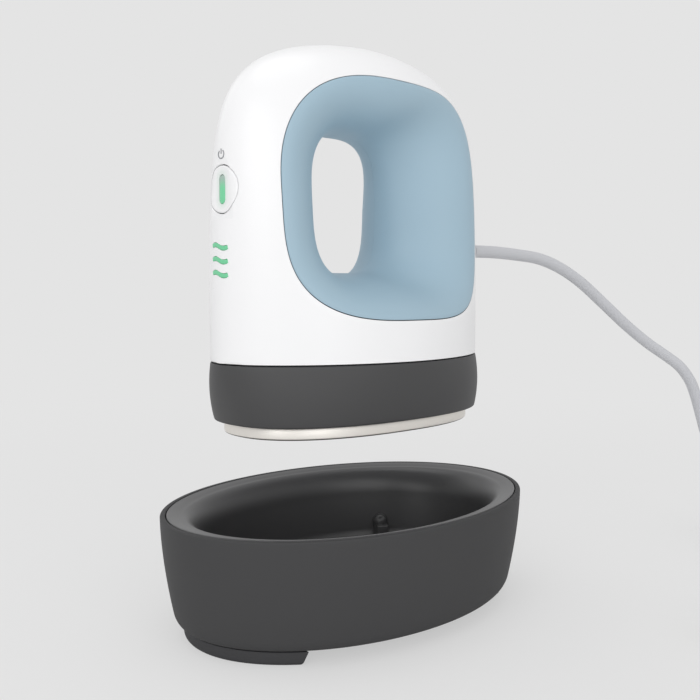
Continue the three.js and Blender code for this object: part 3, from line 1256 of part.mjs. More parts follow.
function buildPlug() {
  const plug = new THREE.Group();
  plug.position.set(...PLUG_PLACE, PLUG_HEIGHT / 2);
  plug.rotation.z = THREE.MathUtils.degToRad(PLUG_HEADING);
  object.add(plug);
  const reliefProfile = [
    [0, 0],
    [CORD_RADIUS + PLUG_RELIEF_WALLS[0], 0],
    [CORD_RADIUS + PLUG_RELIEF_WALLS[1], PLUG_RELIEF_LENGTH],
    [0, PLUG_RELIEF_LENGTH],
  ].map(([r, h]) => new THREE.Vector2(r, h));
  const relief = new THREE.LatheGeometry(reliefProfile, 12).rotateZ(-Math.PI / 2);
  const back = PLUG_RELIEF_LENGTH - PLUG_OVERLAP;
  const front = back + PLUG_LENGTH;
  const section = (inset, x) => {
    const [halfWidth, halfHeight] = [PLUG_WIDTH / 2 - inset, PLUG_HEIGHT / 2 - inset];
    return oval(halfWidth, halfHeight, x, PLUG_FULLNESS, 0, PLUG_STEPS).map(([y, z]) => [x, y, z]);
  };
  const rings = PLUG_SHOULDERS.map(([distance, inset]) => section(inset, back + distance));
  rings.push(section(0, front));
  let body = solid(relief).add(solid(stack(rings)));
  const [halfT, halfW, inside] = [BLADE_THICKNESS / 2, BLADE_WIDTH / 2, front - BLADE_HOLD];
  [-1, 1].forEach((side, i) => {
    const y = (side * BLADE_SPACING) / 2;
    const blade = (grow, end) => {
      const [thick, wide] = [halfT + grow, halfW + grow];
      return box(inside - grow, end, y - thick, y + thick, -wide, wide);
    };
    body = body.subtract(solid(blade(GAP, front + 1)));
    add(plug, `plug_blade_${i + 1}`, blade(0, front + BLADE_LENGTH), "brass");
  });
  add(plug, "plug_body", shape(body), "cordgrey");
}

buildShell();
buildGrip("grip_left", -1);
buildGrip("grip_right", 1);
buildSkirt();
buildHeater();
buildNose();
buildBoard();
buildCordEntry();
buildWires();
buildBaseShell();
buildBaseLiner();
buildFeet();
buildCord();
buildPlug();

export default object;
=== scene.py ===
"""Dressed model of a mini heat press, held above the base that it is set down in, with its cord."""

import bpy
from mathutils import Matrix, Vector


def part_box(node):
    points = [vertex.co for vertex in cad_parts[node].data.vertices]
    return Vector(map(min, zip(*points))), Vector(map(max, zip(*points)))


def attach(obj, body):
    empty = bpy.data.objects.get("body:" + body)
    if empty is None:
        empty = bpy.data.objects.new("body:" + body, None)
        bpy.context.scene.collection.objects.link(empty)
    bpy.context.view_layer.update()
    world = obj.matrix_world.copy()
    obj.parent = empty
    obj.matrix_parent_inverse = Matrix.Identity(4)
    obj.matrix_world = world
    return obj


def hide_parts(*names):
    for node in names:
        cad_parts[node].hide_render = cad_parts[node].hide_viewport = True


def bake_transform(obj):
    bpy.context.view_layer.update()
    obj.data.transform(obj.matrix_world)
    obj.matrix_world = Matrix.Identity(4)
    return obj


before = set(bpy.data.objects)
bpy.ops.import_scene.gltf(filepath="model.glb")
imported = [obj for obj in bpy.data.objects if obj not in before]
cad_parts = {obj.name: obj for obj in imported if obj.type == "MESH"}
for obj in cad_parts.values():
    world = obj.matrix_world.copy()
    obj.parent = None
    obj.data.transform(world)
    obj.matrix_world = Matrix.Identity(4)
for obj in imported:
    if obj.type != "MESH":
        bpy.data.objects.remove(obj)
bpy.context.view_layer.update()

import math

import bmesh
import bpy
from bpy.props import FloatProperty, FloatVectorProperty, IntProperty, PointerProperty
from mathutils import Matrix, Vector

bl_info = {
    "name": "Mini heat press",
    "version": (1, 0, 0),
    "blender": (4, 5, 0),
    "location": "3D View > Sidebar > Heat press",
    "description": "Builds a mini heat press above its base, piece by piece",
    "category": "Add Mesh",
}

MM = 0.001
TURN = 2 * math.pi

shell_low, shell_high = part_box("body_shell")
plate_low, plate_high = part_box("heat_plate")
skirt_low, skirt_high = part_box("skirt")
tray_low, tray_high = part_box("base_shell")
relief_low, relief_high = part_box("cord_strain_relief")


def middle_of(node):
    """The middle of a CAD node's box, as x, y and z."""
    low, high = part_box(node)
    return [(low[k] + high[k]) / 2 for k in range(3)]


button_z = middle_of("power_button")[2]
relief_z = middle_of("cord_strain_relief")[2]


def linear(value):
    """A display value from 0 to 255 as linear light."""
    share = value / 255
    return share / 12.92 if share <= 0.04045 else ((share + 0.055) / 1.055) ** 2.4


def rgb(*display):
    """A display colour, each part from 0 to 255, as linear light."""
    return tuple(linear(value) for value in display)


def length(name, about, millimetres):
    return FloatProperty(name=name, description=about, default=millimetres * MM, unit="LENGTH", min=0)


def number(name, about, value):
    return FloatProperty(name=name, description=about, default=value)


def count(name, about, value):
    return IntProperty(name=name, description=about, default=value, min=1)


def colour(name, about, *display):
    shown = {"name": name, "description": about, "default": rgb(*display)}
    return FloatVectorProperty(subtype="COLOR", size=3, min=0, max=1, **shown)


class HeatPressSizes(bpy.types.PropertyGroup):
    """Sizes of the press itself."""

    half_length: length("Shell half length", "From the middle to the nose", -shell_low.x / MM)
    half_width: length("Shell half width", "From the middle to a side", shell_high.y / MM)
    wall: length("Shell wall", "Thickness of the white moulding", 2.5)
    side_power: number("Side shoulder", "How square the top looks from the side", 8.7)
    side_root: number("Side roundness", "How the side view closes at the top", 2)
    front_power: number("Front shoulder", "How square the top looks from the nose", 2.95)
    front_root: number("Front roundness", "How the nose view closes at the top", 2.34)
    section_fullness: number("Section squareness", "The shell seen from above: 2 is an oval", 1.87)
    lean: length("Lean", "How far the top leans to the rear", 1.5)
    lean_start: length("Lean start", "Height above the shell's edge where the lean starts", 29)
    lean_end: length("Lean end", "Height above the shell's edge where the lean ends", 89)
    seam_x: FloatProperty(name="Seam centre", description="Middle of the grip's outline", default=-0.9 * MM)
    seam_rise: length("Seam rise", "Middle of the grip's outline above the shell's edge", 44.5)
    seam_half_length: length("Seam half length", "Half of the grip outline's length", 36.7)
    seam_half_height: length("Seam half height", "Half of the grip outline's height", 33.4)
    hole_x: FloatProperty(name="Hole centre", description="Middle of the hole", default=-5.1 * MM)
    hole_rise: length("Hole rise", "Middle of the hole above the shell's edge", 44)
    hole_half_length: length("Hole half length", "Half of the hole's length", 14.4)
    hole_half_height: length("Hole half height", "Half of the hole's height", 19.7)
    hole_top: number("Hole squareness above", "2 is an oval, more is squarer", 3.2)
    hole_bottom: number("Hole squareness below", "2 is an oval, more is squarer", 3.8)
    gap: length("Gap", "Gap between touching pieces", 0.3)
    grip_thickness: length("Grip thickness", "Thickness of the grip's moulding", 1.8)
    grip_edge: length("Grip edge", "Thickness of the grip at the seam", 1.1)
    grip_roll: number("Grip roll", "Share of the way in that the grip keeps level", 0.41)
    throat_nose: number("Throat at the nose", "Depth at which the grip turns into the hole", 0.64)
    throat_rear: number("Throat at the rear", "Depth at which the grip turns into the hole", 0.62)
    throat_top: number("Throat at the top", "Depth at which the grip turns into the hole", 0.83)
    throat_bottom: number("Throat at the bottom", "Depth at which the grip turns into the hole", 0.41)
    nose_flat: length("Nose flat", "Depth of the flat round the button", 1.1)
    skirt_flare: length("Skirt flare", "How far the skirt widens upwards", 2.8)
    deck_rise: length("Deck rise", "Underside of the inner deck above the skirt's edge", 8.8)
    deck_thickness: length("Deck thickness", "Thickness of the inner deck", 2)
    skirt_height: length("Skirt height", "Height of the skirt's outer wall", 16.4)
    plate_half_length: length("Plate half length", "Half of the plate", plate_high.x / MM)
    plate_half_width: length("Plate half width", "Half of the plate", plate_high.y / MM)
    plate_thickness: length("Plate thickness", "Thickness of the plate's edge", 3.3)
    plate_round: length("Plate edge", "Rounding of the plate's lower edge", 0.7)
    plate_fullness: number("Plate squareness", "2 is an oval, more is squarer", 2.35)
    button_radius: length("Button radius", "Outer radius of the button's face", 6.15)
    bar_length: length("Light bar length", "Length of the bar on the button", 7.4)
    bar_width: length("Light bar width", "Width of the bar on the button", 2.4)
    wave_half_width: length("Wave half width", "Half of a wave mark's width", 3.1)
    wave_amplitude: length("Wave height", "How far a wave mark rises and falls", 0.33)
    wave_tilt: length("Wave tilt", "How far a wave mark drops from end to end", 0.3)
    wave_stroke: length("Wave stroke", "Thickness of a wave mark", 1.1)
    symbol_radius: length("Symbol radius", "Radius of the power symbol's ring", 1.1)
    symbol_stroke: length("Symbol stroke", "Thickness of the power symbol's lines", 0.34)


class HeatPressBaseSizes(bpy.types.PropertyGroup):
    """Sizes of the base."""

    half_length: length("Base half length", "Half of the rim's length", tray_high.x / MM)
    half_width: length("Base half width", "Half of the rim's width", tray_high.y / MM)
    taper: length("Taper", "How far the wall draws in to the bottom", 4)
    belly: number("Belly", "How soon the wall draws in", 1.7)
    corner: length("Bottom corner", "Rounding of the lower edge", 3)
    wall: length("Shell wall", "Thickness of the outer floor", 2.4)
    rim_wall: length("Rim wall", "Thickness of the outer wall at the rim", 1.5)
    liner_floor: length("Liner floor", "Thickness of the liner's floor", 1.6)
    lip_drop: length("Lip drop", "How far the lip falls inwards", 1.3)
    lip_end: length("Lip at the ends", "Width of the rim at the ends", 10.6)
    lip_side: length("Lip at the sides", "Width of the rim at the sides", 8)
    lip_round: length("Lip rounding", "Height of the lip's inner rounding", 9)
    cavity_taper: length("Cavity taper", "How far the cavity draws in to its floor", 4)
    post_radius: length("Post radius", "Radius of a rest post", 2.5)
    post_top: length("Post top", "Height of a rest post", 18)
    post_web: length("Post web", "Thickness of the rib behind a post", 4)
    foot_inset: length("Foot inset", "How far a foot stands in from the wall", 2.2)
    foot_lean: length("Foot end slope", "How far a foot's cut end leans", 0.8)


class HeatPressCordSizes(bpy.types.PropertyGroup):
    """Sizes of the cord and its plug."""

    radius: length("Cord radius", "Radius of the cord's jacket", 2.1)
    turns: number("Coil turns", "Turns of the spare length", 9.36)
    layers: count("Coil layers", "Layers of the spare length", 4)
    space: length("Coil space", "Space between turns", 0.6)
    middle_radius: length("Coil radius", "Radius at the middle of the turns", 25)
    tie_width: length("Tie width", "Width of the strap round the coil", 9)
    tie_thickness: length("Tie thickness", "Thickness of the strap", 0.6)
    plug_length: length("Plug length", "Length of the plug's body", 25)
    plug_width: length("Plug width", "Width of the plug's body", 20)
    plug_height: length("Plug height", "Height of the plug's body", 13)
    plug_relief: length("Plug relief", "Length of the plug's tapered tail", 22)


class HeatPressColours(bpy.types.PropertyGroup):
    """Colours of the finishes, as they look in plain light."""

    white: colour("Shell white", "The body's moulding", 247, 247, 248)
    blue: colour("Grip blue", "The soft linings", 162, 188, 203)
    charcoal: colour("Charcoal", "Skirt and base", 64, 64, 65)
    rubber: colour("Foot rubber", "The base's feet", 58, 58, 60)
    steel: colour("Plate metal", "The heat plate's edge", 236, 232, 226)
    coating: colour("Plate coating", "The heat plate's underside", 84, 80, 76)
    green: colour("Light green", "Light bar and wave marks", 112, 200, 152)
    mark: colour("Mark grey", "Power symbol", 142, 144, 148)
    cord: colour("Cord grey", "Cord, strain relief and plug", 200, 201, 205)
    floor: colour("Floor", "Floor and backdrop", 228, 228, 228)


# Node trees

class Tree:
    """Adds nodes to a tree. An input given as a socket is linked, any other is set."""

    def __init__(self, tree):
        self.nodes = tree.nodes
        self.links = tree.links

    def node(self, kind, inputs=(), **settings):
        node = self.nodes.new(kind)
        for key, value in settings.items():
            setattr(node, key, value)
        for key, value in dict(inputs).items():
            if isinstance(value, bpy.types.NodeSocket):
                self.links.new(value, node.inputs[key])
            else:
                node.inputs[key].default_value = value
        return node

    def math(self, operation, *values):
        return self.node("ShaderNodeMath", enumerate(values), operation=operation).outputs[0]

    def mixed(self, mask, first, second):
        """A colour that goes from the first to the second with the mask."""
        inputs = {0: mask, MIX_FIRST: opaque(first), MIX_SECOND: opaque(second)}
        return self.node("ShaderNodeMix", inputs, data_type="RGBA").outputs[MIX_RESULT]


MIX_FIRST, MIX_SECOND, MIX_RESULT = 6, 7, 2


def opaque(tint):
    return tint if isinstance(tint, bpy.types.NodeSocket) else (*tint, 1)


def socket(tree, name, kind, direction="INPUT", default=None):
    made = tree.interface.new_socket(name=name, in_out=direction, socket_type=kind)
    if default is not None:
        made.default_value = default


def geometry_tree(name, *inputs):
    """A Geometry Nodes tree with these inputs, and its group input node."""
    tree = bpy.data.node_groups.new(name, "GeometryNodeTree")
    socket(tree, "Geometry", "NodeSocketGeometry")
    for title, kind, default in inputs:
        socket(tree, title, kind, default=default)
    socket(tree, "Material", "NodeSocketMaterial")
    socket(tree, "Geometry", "NodeSocketGeometry", "OUTPUT")
    build = Tree(tree)
    return tree, build, build.node("NodeGroupInput").outputs


def close_geometry(build, geometry, material):
    real = build.node("GeometryNodeRealizeInstances", {"Geometry": geometry})
    finish = {"Geometry": real.outputs[0], "Material": material}
    done = build.node("GeometryNodeSetMaterial", finish)
    build.node("NodeGroupOutput", {"Geometry": done.outputs[0]})


def oval_loft_tree():
    """Turns a column of points into a round piece: each point is one oval ring of it."""
    tree, build, given = geometry_tree("Oval loft", ("Sides", "NodeSocketInt", 160))
    rings = build.node("GeometryNodeAttributeDomainSize", {0: given["Geometry"]}).outputs[0]
    columns = build.math("ADD", given["Sides"], 1)
    grid_inputs = {"Size X": 1, "Size Y": 1, "Vertices X": columns, "Vertices Y": rings}
    grid = build.node("GeometryNodeMeshGrid", grid_inputs).outputs["Mesh"]
    place = build.node("GeometryNodeInputPosition").outputs[0]
    across = build.node("ShaderNodeSeparateXYZ", {0: place})
    angle = build.math("MULTIPLY", build.math("ADD", across.outputs["X"], 0.5), TURN)
    last = build.math("SUBTRACT", rings, 1)
    row = build.math("ROUND", build.math("MULTIPLY", build.math("ADD", across.outputs["Y"], 0.5), last))

    def sampled(field, kind):
        inputs = {"Geometry": given["Geometry"], "Value": field, "Index": row}
        return build.node("GeometryNodeSampleIndex", inputs, data_type=kind, domain="POINT").outputs[0]

    def ring_value(name):
        field = build.node("GeometryNodeInputNamedAttribute", {"Name": name}, data_type="FLOAT")
        return sampled(field.outputs["Attribute"], "FLOAT")

    exponent = build.math("DIVIDE", 2, ring_value("fullness"))

    def reach(operation, half):
        wave = build.math(operation, angle)
        curve = build.math("POWER", build.math("ABSOLUTE", wave), exponent)
        return build.math("MULTIPLY", build.math("MULTIPLY", curve, build.math("SIGN", wave)), half)

    height = build.node("ShaderNodeSeparateXYZ", {0: sampled(place, "FLOAT_VECTOR")}).outputs["Z"]
    x = reach("COSINE", ring_value("half_length"))
    y = reach("SINE", ring_value("half_width"))
    at = build.node("ShaderNodeCombineXYZ", {"X": x, "Y": y, "Z": height}).outputs[0]
    placed = build.node("GeometryNodeSetPosition", {"Geometry": grid, "Position": at}).outputs[0]
    merged = build.node("GeometryNodeMergeByDistance", {"Geometry": placed, "Distance": 1e-6})
    close_geometry(build, merged.outputs[0], given["Material"])
    return tree


def tube_tree():
    """Sweeps a round section along a line of points."""
    inputs = (("Radius", "NodeSocketFloat", MM), ("Sides", "NodeSocketInt", 20))
    tree, build, given = geometry_tree("Round tube along a line", *inputs)
    line = build.node("GeometryNodeMeshToCurve", {"Mesh": given["Geometry"]}).outputs[0]
    inputs = {"Resolution": given["Sides"], "Radius": given["Radius"]}
    circle = build.node("GeometryNodeCurvePrimitiveCircle", inputs)
    sweep_inputs = {"Curve": line, "Profile Curve": circle.outputs[0], "Fill Caps": True}
    sweep = build.node("GeometryNodeCurveToMesh", sweep_inputs).outputs[0]
    close_geometry(build, sweep, given["Material"])
    return tree


def strip_tree():
    """Sweeps a flat strip with rounded corners along a line of points."""
    inputs = [(title, "NodeSocketFloat", MM) for title in ("Width", "Depth", "Corner")]
    tree, build, given = geometry_tree("Flat strip along a line", *inputs)
    line = build.node("GeometryNodeMeshToCurve", {"Mesh": given["Geometry"]}).outputs[0]
    upright = build.node("GeometryNodeSetCurveNormal", {"Curve": line}, mode="Z_UP").outputs[0]
    section_inputs = {"Width": given["Depth"], "Height": given["Width"]}
    section = build.node("GeometryNodeCurvePrimitiveQuadrilateral", section_inputs)
    rounded_inputs = {"Curve": section.outputs[0], "Radius": given["Corner"], "Count": 3}
    rounded = build.node("GeometryNodeFilletCurve", rounded_inputs, mode="POLY").outputs[0]
    sweep_inputs = {"Curve": upright, "Profile Curve": rounded, "Fill Caps": True}
    sweep = build.node("GeometryNodeCurveToMesh", sweep_inputs).outputs[0]
    close_geometry(build, sweep, given["Material"])
    return tree


def screw_tree():
    """Sets a screw on each point, along the point's axis and with the point's own length."""
    inputs = (("Head", "NodeSocketObject", None), ("Shank", "NodeSocketObject", None))
    tree, build, given = geometry_tree("Screws on points", *inputs)

    def point_value(name, kind):
        field = build.node("GeometryNodeInputNamedAttribute", {"Name": name}, data_type=kind)
        return field.outputs["Attribute"]

    axis = point_value("axis", "FLOAT_VECTOR")
    turn = build.node("FunctionNodeAlignRotationToVector", {"Vector": axis}, axis="Z")
    stretch = build.node("ShaderNodeCombineXYZ", {"X": 1, "Y": 1, "Z": point_value("shank", "FLOAT")})
    sets = []
    for part, scale in (("Head", (1, 1, 1)), ("Shank", stretch.outputs[0])):
        made = build.node("GeometryNodeObjectInfo", {"Object": given[part]}).outputs["Geometry"]
        inputs = {"Points": given["Geometry"], "Instance": made, "Rotation": turn.outputs[0]}
        inputs["Scale"] = scale
        sets.append(build.node("GeometryNodeInstanceOnPoints", inputs).outputs[0])
    both = build.node("GeometryNodeJoinGeometry")
    for made in sets:
        build.links.new(made, both.inputs[0])
    close_geometry(build, both.outputs[0], given["Material"])
    return tree


def shared_tree(make):
    """The tree that a function makes, made once."""
    if make.__name__ not in TREES:
        TREES[make.__name__] = make()
    return TREES[make.__name__]


TREES = {}


def grown(name, points, make, values, attributes=(), line=False):
    """A plain mesh object that a Geometry Nodes tree makes from points, or from the line through them."""
    edges = [(k, k + 1) for k in range(len(points) - 1)] if line else []
    mesh = bpy.data.meshes.new(name)
    mesh.from_pydata(points, edges, [])
    for title, kind, numbers in attributes:
        layer = mesh.attributes.new(title, kind, "POINT")
        layer.data.foreach_set("vector" if kind == "FLOAT_VECTOR" else "value", numbers)
    obj = linked(name, mesh)
    tree = shared_tree(make)
    modifier = obj.modifiers.new("grow", "NODES")
    modifier.node_group = tree
    sockets = {item.name: item.identifier for item in tree.interface.items_tree if item.in_out == "INPUT"}
    for title, value in values.items():
        modifier[sockets[title]] = value
    return made_plain(obj)


# Objects and meshes

def linked(name, data):
    obj = bpy.data.objects.new(name, data)
    bpy.context.scene.collection.objects.link(obj)
    return obj


def made_plain(obj):
    """The object with its modifiers applied and removed."""
    graph = bpy.context.evaluated_depsgraph_get()
    mesh = bpy.data.meshes.new_from_object(obj.evaluated_get(graph))
    old = obj.data
    obj.modifiers.clear()
    obj.data = mesh
    bpy.data.meshes.remove(old)
    return obj


def mesh_object(name, points, faces, shade=None):
    mesh = bpy.data.meshes.new(name)
    mesh.from_pydata([tuple(point) for point in points], [], faces)
    if shade:
        # Painted shade for the groove walls at the seam, given point by point.
        mesh.attributes.new("painted_seam_shade", "FLOAT", "POINT").data.foreach_set("value", shade)
    return linked(name, mesh)


def closed(obj):
    """Merges an object's doubles and turns its faces outwards."""
    work = bmesh.new()
    work.from_mesh(obj.data)
    bmesh.ops.remove_doubles(work, verts=work.verts, dist=1e-6)
    bmesh.ops.dissolve_degenerate(work, edges=work.edges, dist=1e-7)
    bmesh.ops.recalc_face_normals(work, faces=work.faces)
    if work.calc_volume(signed=True) < 0:
        bmesh.ops.reverse_faces(work, faces=work.faces)
    work.to_mesh(obj.data)
    work.free()
    return obj


def cut(obj, *cutters):
    """Takes each cutter out of the object, and removes the cutters."""
    for cutter in cutters:
        modifier = obj.modifiers.new("cut", "BOOLEAN")
        modifier.solver = "EXACT"
        modifier.object = closed(cutter)
    made_plain(obj)
    for cutter in cutters:
        bpy.data.objects.remove(cutter)
    return obj


def bevelled(obj, width, segments=2, angle=40):
    modifier = obj.modifiers.new("bevel", "BEVEL")
    modifier.width = width
    modifier.segments = segments
    modifier.limit_method = "ANGLE"
    modifier.angle_limit = math.radians(angle)
    return made_plain(obj)


def joined(name, objects):
    """One object of several, in their given order."""
    work = bmesh.new()
    for obj in objects:
        work.from_mesh(obj.data)
    mesh = bpy.data.meshes.new(name)
    work.to_mesh(mesh)
    work.free()
    for obj in objects:
        bpy.data.objects.remove(obj)
    return linked(name, mesh)


def piece(obj, material, body, nodes=(), sharp=32):
    """Finishes a piece: its material, its shading, its body and the CAD nodes it stands for."""
    closed(obj)
    obj.data.materials.clear()
    obj.data.materials.append(material)
    obj.data.shade_smooth()
    obj.data.set_sharp_from_angle(angle=math.radians(sharp))
    if body:
        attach(obj, body)
    if nodes:
        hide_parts(*nodes)
    return obj


def box_object(name, low, high):
    corners = [(x, y, z) for x in (low[0], high[0]) for y in (low[1], high[1]) for z in (low[2], high[2])]
    faces = [(0, 1, 3, 2), (4, 6, 7, 5), (0, 4, 5, 1), (2, 3, 7, 6), (0, 2, 6, 4), (1, 5, 7, 3)]
    return mesh_object(name, corners, faces)


def ring_faces(rows, sides, wrapped=False):
    """The faces between rings of points that follow each other. wrapped goes on to the first ring."""
    faces = []
    for row in range(rows if wrapped else rows - 1):
        a, b = row * sides, (row + 1) % rows * sides
        faces += [(a + k, a + (k + 1) % sides, b + (k + 1) % sides, b + k) for k in range(sides)]
    return faces


def lathed(name, profile, origin, axis, sides=64):
    """Turns a profile of (radius, distance) points about an axis. Its ends close on the axis."""
    turn = Vector((0, 0, 1)).rotation_difference(Vector(axis)).to_matrix()
    points = []
    for radius, along in profile:
        for k in range(sides):
            angle = TURN * k / sides
            spoke = Vector((radius * math.cos(angle), radius * math.sin(angle), along))
            points.append(Vector(origin) + turn @ spoke)
    return closed(mesh_object(name, points, ring_faces(len(profile), sides)))


def prism(name, outline, low, high, place):
    """Sweeps a flat outline from low to high. place turns (across, up, along) into a point."""
    total = len(outline)
    points = [place(u, v, low) for u, v in outline] + [place(u, v, high) for u, v in outline]
    sides = [(k, (k + 1) % total, total + (k + 1) % total, total + k) for k in range(total)]
    ends = [tuple(range(total)), tuple(range(total, 2 * total))]
    return closed(mesh_object(name, points, sides + ends))


def along_x(y, z, x):
    return (x, y, z)


def wreath(name, loops, shade=None):
    """A closed ring of closed loops. shade gives each point of a loop its share of painted seam shade."""
    faces = ring_faces(len(loops), len(loops[0]), True)
    points = [point for loop in loops for point in loop]
    return closed(mesh_object(name, points, faces, shade and shade * len(loops)))


def quarter(steps):
    """(Sine, 1 - cosine) over a quarter turn, for a rounded edge."""
    angles = [math.pi / 2 * k / steps for k in range(steps + 1)]
    return [(math.sin(angle), 1 - math.cos(angle)) for angle in angles]


def oval_piece(name, rows, sides=192):
    """A round piece from rows of (half length, half width, fullness, height)."""
    points = [(0, 0, row[3]) for row in rows]
    titles = ("half_length", "half_width", "fullness")
    attributes = [(title, "FLOAT", [row[k] for row in rows]) for k, title in enumerate(titles)]
    return grown(name, points, oval_loft_tree, {"Sides": sides}, attributes)


def squared(wave, half, fullness):
    """A sine or cosine drawn towards its ends: at 2 it stays as it is, more makes a squarer oval."""
    return half * math.copysign(abs(wave) ** (2 / fullness), wave)


def smooth(value):
    share = min(1, max(0, value))
    return share * share * (3 - 2 * share)


# Materials

def grain_group():
    """Fine moulded grain: a colour that wanders a little, a roughness that does, and a height."""
    tree = bpy.data.node_groups.new("Moulded grain", "ShaderNodeTree")
    socket(tree, "Color", "NodeSocketColor")
    socket(tree, "Grain Scale", "NodeSocketFloat", default=2500)
    socket(tree, "Patch Scale", "NodeSocketFloat", default=60)
    socket(tree, "Shift", "NodeSocketFloat", default=0.04)
    socket(tree, "Roughness", "NodeSocketFloat", default=0.4)
    socket(tree, "Color", "NodeSocketColor", "OUTPUT")
    socket(tree, "Roughness", "NodeSocketFloat", "OUTPUT")
    socket(tree, "Height", "NodeSocketFloat", "OUTPUT")
    build = Tree(tree)
    given = build.node("NodeGroupInput").outputs
    place = build.node("ShaderNodeTexCoord").outputs["Object"]
    fine_inputs = {"Vector": place, "Scale": given["Grain Scale"], "Detail": 3.0}
    fine = build.node("ShaderNodeTexNoise", fine_inputs).outputs["Fac"]
    patch_inputs = {"Vector": place, "Scale": given["Patch Scale"], "Detail": 2.0}
    patch = build.node("ShaderNodeTexNoise", patch_inputs).outputs["Fac"]
    wander = build.math("SUBTRACT", patch, 0.5)
    speckle = build.math("SUBTRACT", fine, 0.5)
    both = build.math("ADD", wander, build.math("MULTIPLY", speckle, 0.6))
    value = build.math("ADD", 1, build.math("MULTIPLY", both, given["Shift"]))
    tint_inputs = {"Color": given["Color"], "Value": value}
    tint = build.node("ShaderNodeHueSaturation", tint_inputs).outputs[0]
    rough = build.math("ADD", given["Roughness"], build.math("MULTIPLY", both, 0.12))
    outputs = {"Color": tint, "Roughness": rough, "Height": fine}
    build.node("NodeGroupOutput", outputs)
    return tree


def glow_group():
    """How near a point is to an upright line across the nose, from 1 on the line to 0."""
    tree = bpy.data.node_groups.new("Nose glow", "ShaderNodeTree")
    socket(tree, "Middle", "NodeSocketVector")
    socket(tree, "Half Length", "NodeSocketFloat", default=MM)
    socket(tree, "Inner", "NodeSocketFloat", default=MM)
    socket(tree, "Outer", "NodeSocketFloat", default=MM)
    socket(tree, "Mask", "NodeSocketFloat", "OUTPUT")
    build = Tree(tree)
    given = build.node("NodeGroupInput").outputs
    place = build.node("ShaderNodeTexCoord").outputs["Object"]
    away = build.node("ShaderNodeVectorMath", {0: place, 1: given["Middle"]}, operation="SUBTRACT")
    parts = build.node("ShaderNodeSeparateXYZ", {0: away.outputs[0]}).outputs
    beyond = build.math("SUBTRACT", build.math("ABSOLUTE", parts["Z"]), given["Half Length"])
    past = build.math("MAXIMUM", beyond, 0)
    squares = build.math("ADD", build.math("POWER", parts["Y"], 2), build.math("POWER", past, 2))
    distance = build.math("SQRT", build.math("ADD", squares, 1e-12))
    inputs = {"Value": distance, "From Min": given["Inner"], "From Max": given["Outer"]}
    inputs.update({"To Min": 1.0, "To Max": 0.0})
    near = build.node("ShaderNodeMapRange", inputs, interpolation_type="SMOOTHERSTEP").outputs[0]
    build.node("NodeGroupOutput", {"Mask": near})
    return tree


class Finish(Tree):
    """A material under construction: its shader, its nodes and its grain."""

    def __init__(self, name, **sockets):
        self.material = bpy.data.materials.new(name)
        self.material.use_nodes = True
        super().__init__(self.material.node_tree)
        self.shader = self.nodes["Principled BSDF"]
        for title, value in sockets.items():
            self.shader.inputs[title.replace("_", " ")].default_value = value

    def link(self, value, title):
        self.links.new(value, self.shader.inputs[title])

    def grain(self, tint, scale, roughness, shift=0.04, patch=60):
        inputs = {"Color": opaque(tint), "Grain Scale": scale, "Patch Scale": patch}
        inputs.update({"Shift": shift, "Roughness": roughness})
        made = self.group(grain_group, inputs)
        self.link(made["Color"], "Base Color")
        self.link(made["Roughness"], "Roughness")
        return made["Height"]

    def group(self, make, inputs):
        return self.node("ShaderNodeGroup", inputs, node_tree=shared_tree(make)).outputs

    def bump(self, height, distance, strength=0.5):
        inputs = {"Height": height, "Distance": distance, "Strength": strength}
        self.link(self.node("ShaderNodeBump", inputs).outputs[0], "Normal")

    def place(self):
        return self.node("ShaderNodeTexCoord").outputs["Object"]


def plain(name, tint, scale, roughness, distance, shift=0.04, patch=60, seam=None, **sockets):
    """A finish with grain only. seam is the colour of the painted shade on its seam's groove walls, where
    it has one.
    """
    finish = Finish(name, **sockets)
    if seam:
        # Painted shade: this attribute darkens the seam's groove walls towards the seam colour.
        shade = finish.node("ShaderNodeAttribute", attribute_name="painted_seam_shade").outputs["Fac"]
        tint = finish.mixed(shade, tint, seam)
    finish.bump(finish.grain(tint, scale, roughness, shift, patch), distance)
    return finish.material


def plate_finish(colours, size, floor_z):
    """Brushed metal edge, and a dark coating on the underside that ends just above the edge."""
    finish = Finish("plate_metal")
    place = finish.place()
    parts = finish.node("ShaderNodeSeparateXYZ", {0: place}).outputs
    fine = finish.node("ShaderNodeMapping", {"Vector": place, "Scale": (30, 30, 3200)}).outputs[0]
    inputs = {"Vector": fine, "Scale": 1.0, "Detail": 4.0}
    lines = finish.node("ShaderNodeTexNoise", inputs).outputs["Fac"]
    edge_inputs = {
        "Value": parts["Z"],
        "From Min": floor_z + 0.45 * size.plate_round,
        "From Max": floor_z + 0.62 * size.plate_round,
        "To Min": 0.0,
        "To Max": 1.0,
    }
    metal_mask = finish.node("ShaderNodeMapRange", edge_inputs).outputs[0]
    tint = finish.mixed(metal_mask, colours.coating, colours.steel)
    height = finish.grain(tint, 900, 0.42, 0.06)
    finish.link(metal_mask, "Metallic")
    brushed = finish.math("MULTIPLY", finish.math("ADD", lines, height), metal_mask)
    finish.bump(brushed, 0.02 * MM, 0.6)
    return finish.material


def button_finish(colours, size, middle):
    """White moulding, with painted green light round the light bar where its glow would fall."""
    finish = Finish("button_white")
    reach = (size.bar_length - size.bar_width) / 2
    inputs = {"Middle": middle, "Half Length": reach, "Inner": MM, "Outer": 3.6 * MM}
    # Painted light: a faint green pool round the bar, standing in for its glow on the white.
    soft = finish.math("MULTIPLY", finish.group(glow_group, inputs)["Mask"], 0.18)
    tint = finish.mixed(soft, colours.white, colours.green)
    finish.bump(finish.grain(tint, 2600, 0.34, 0.02), 0.01 * MM)
    return finish.material


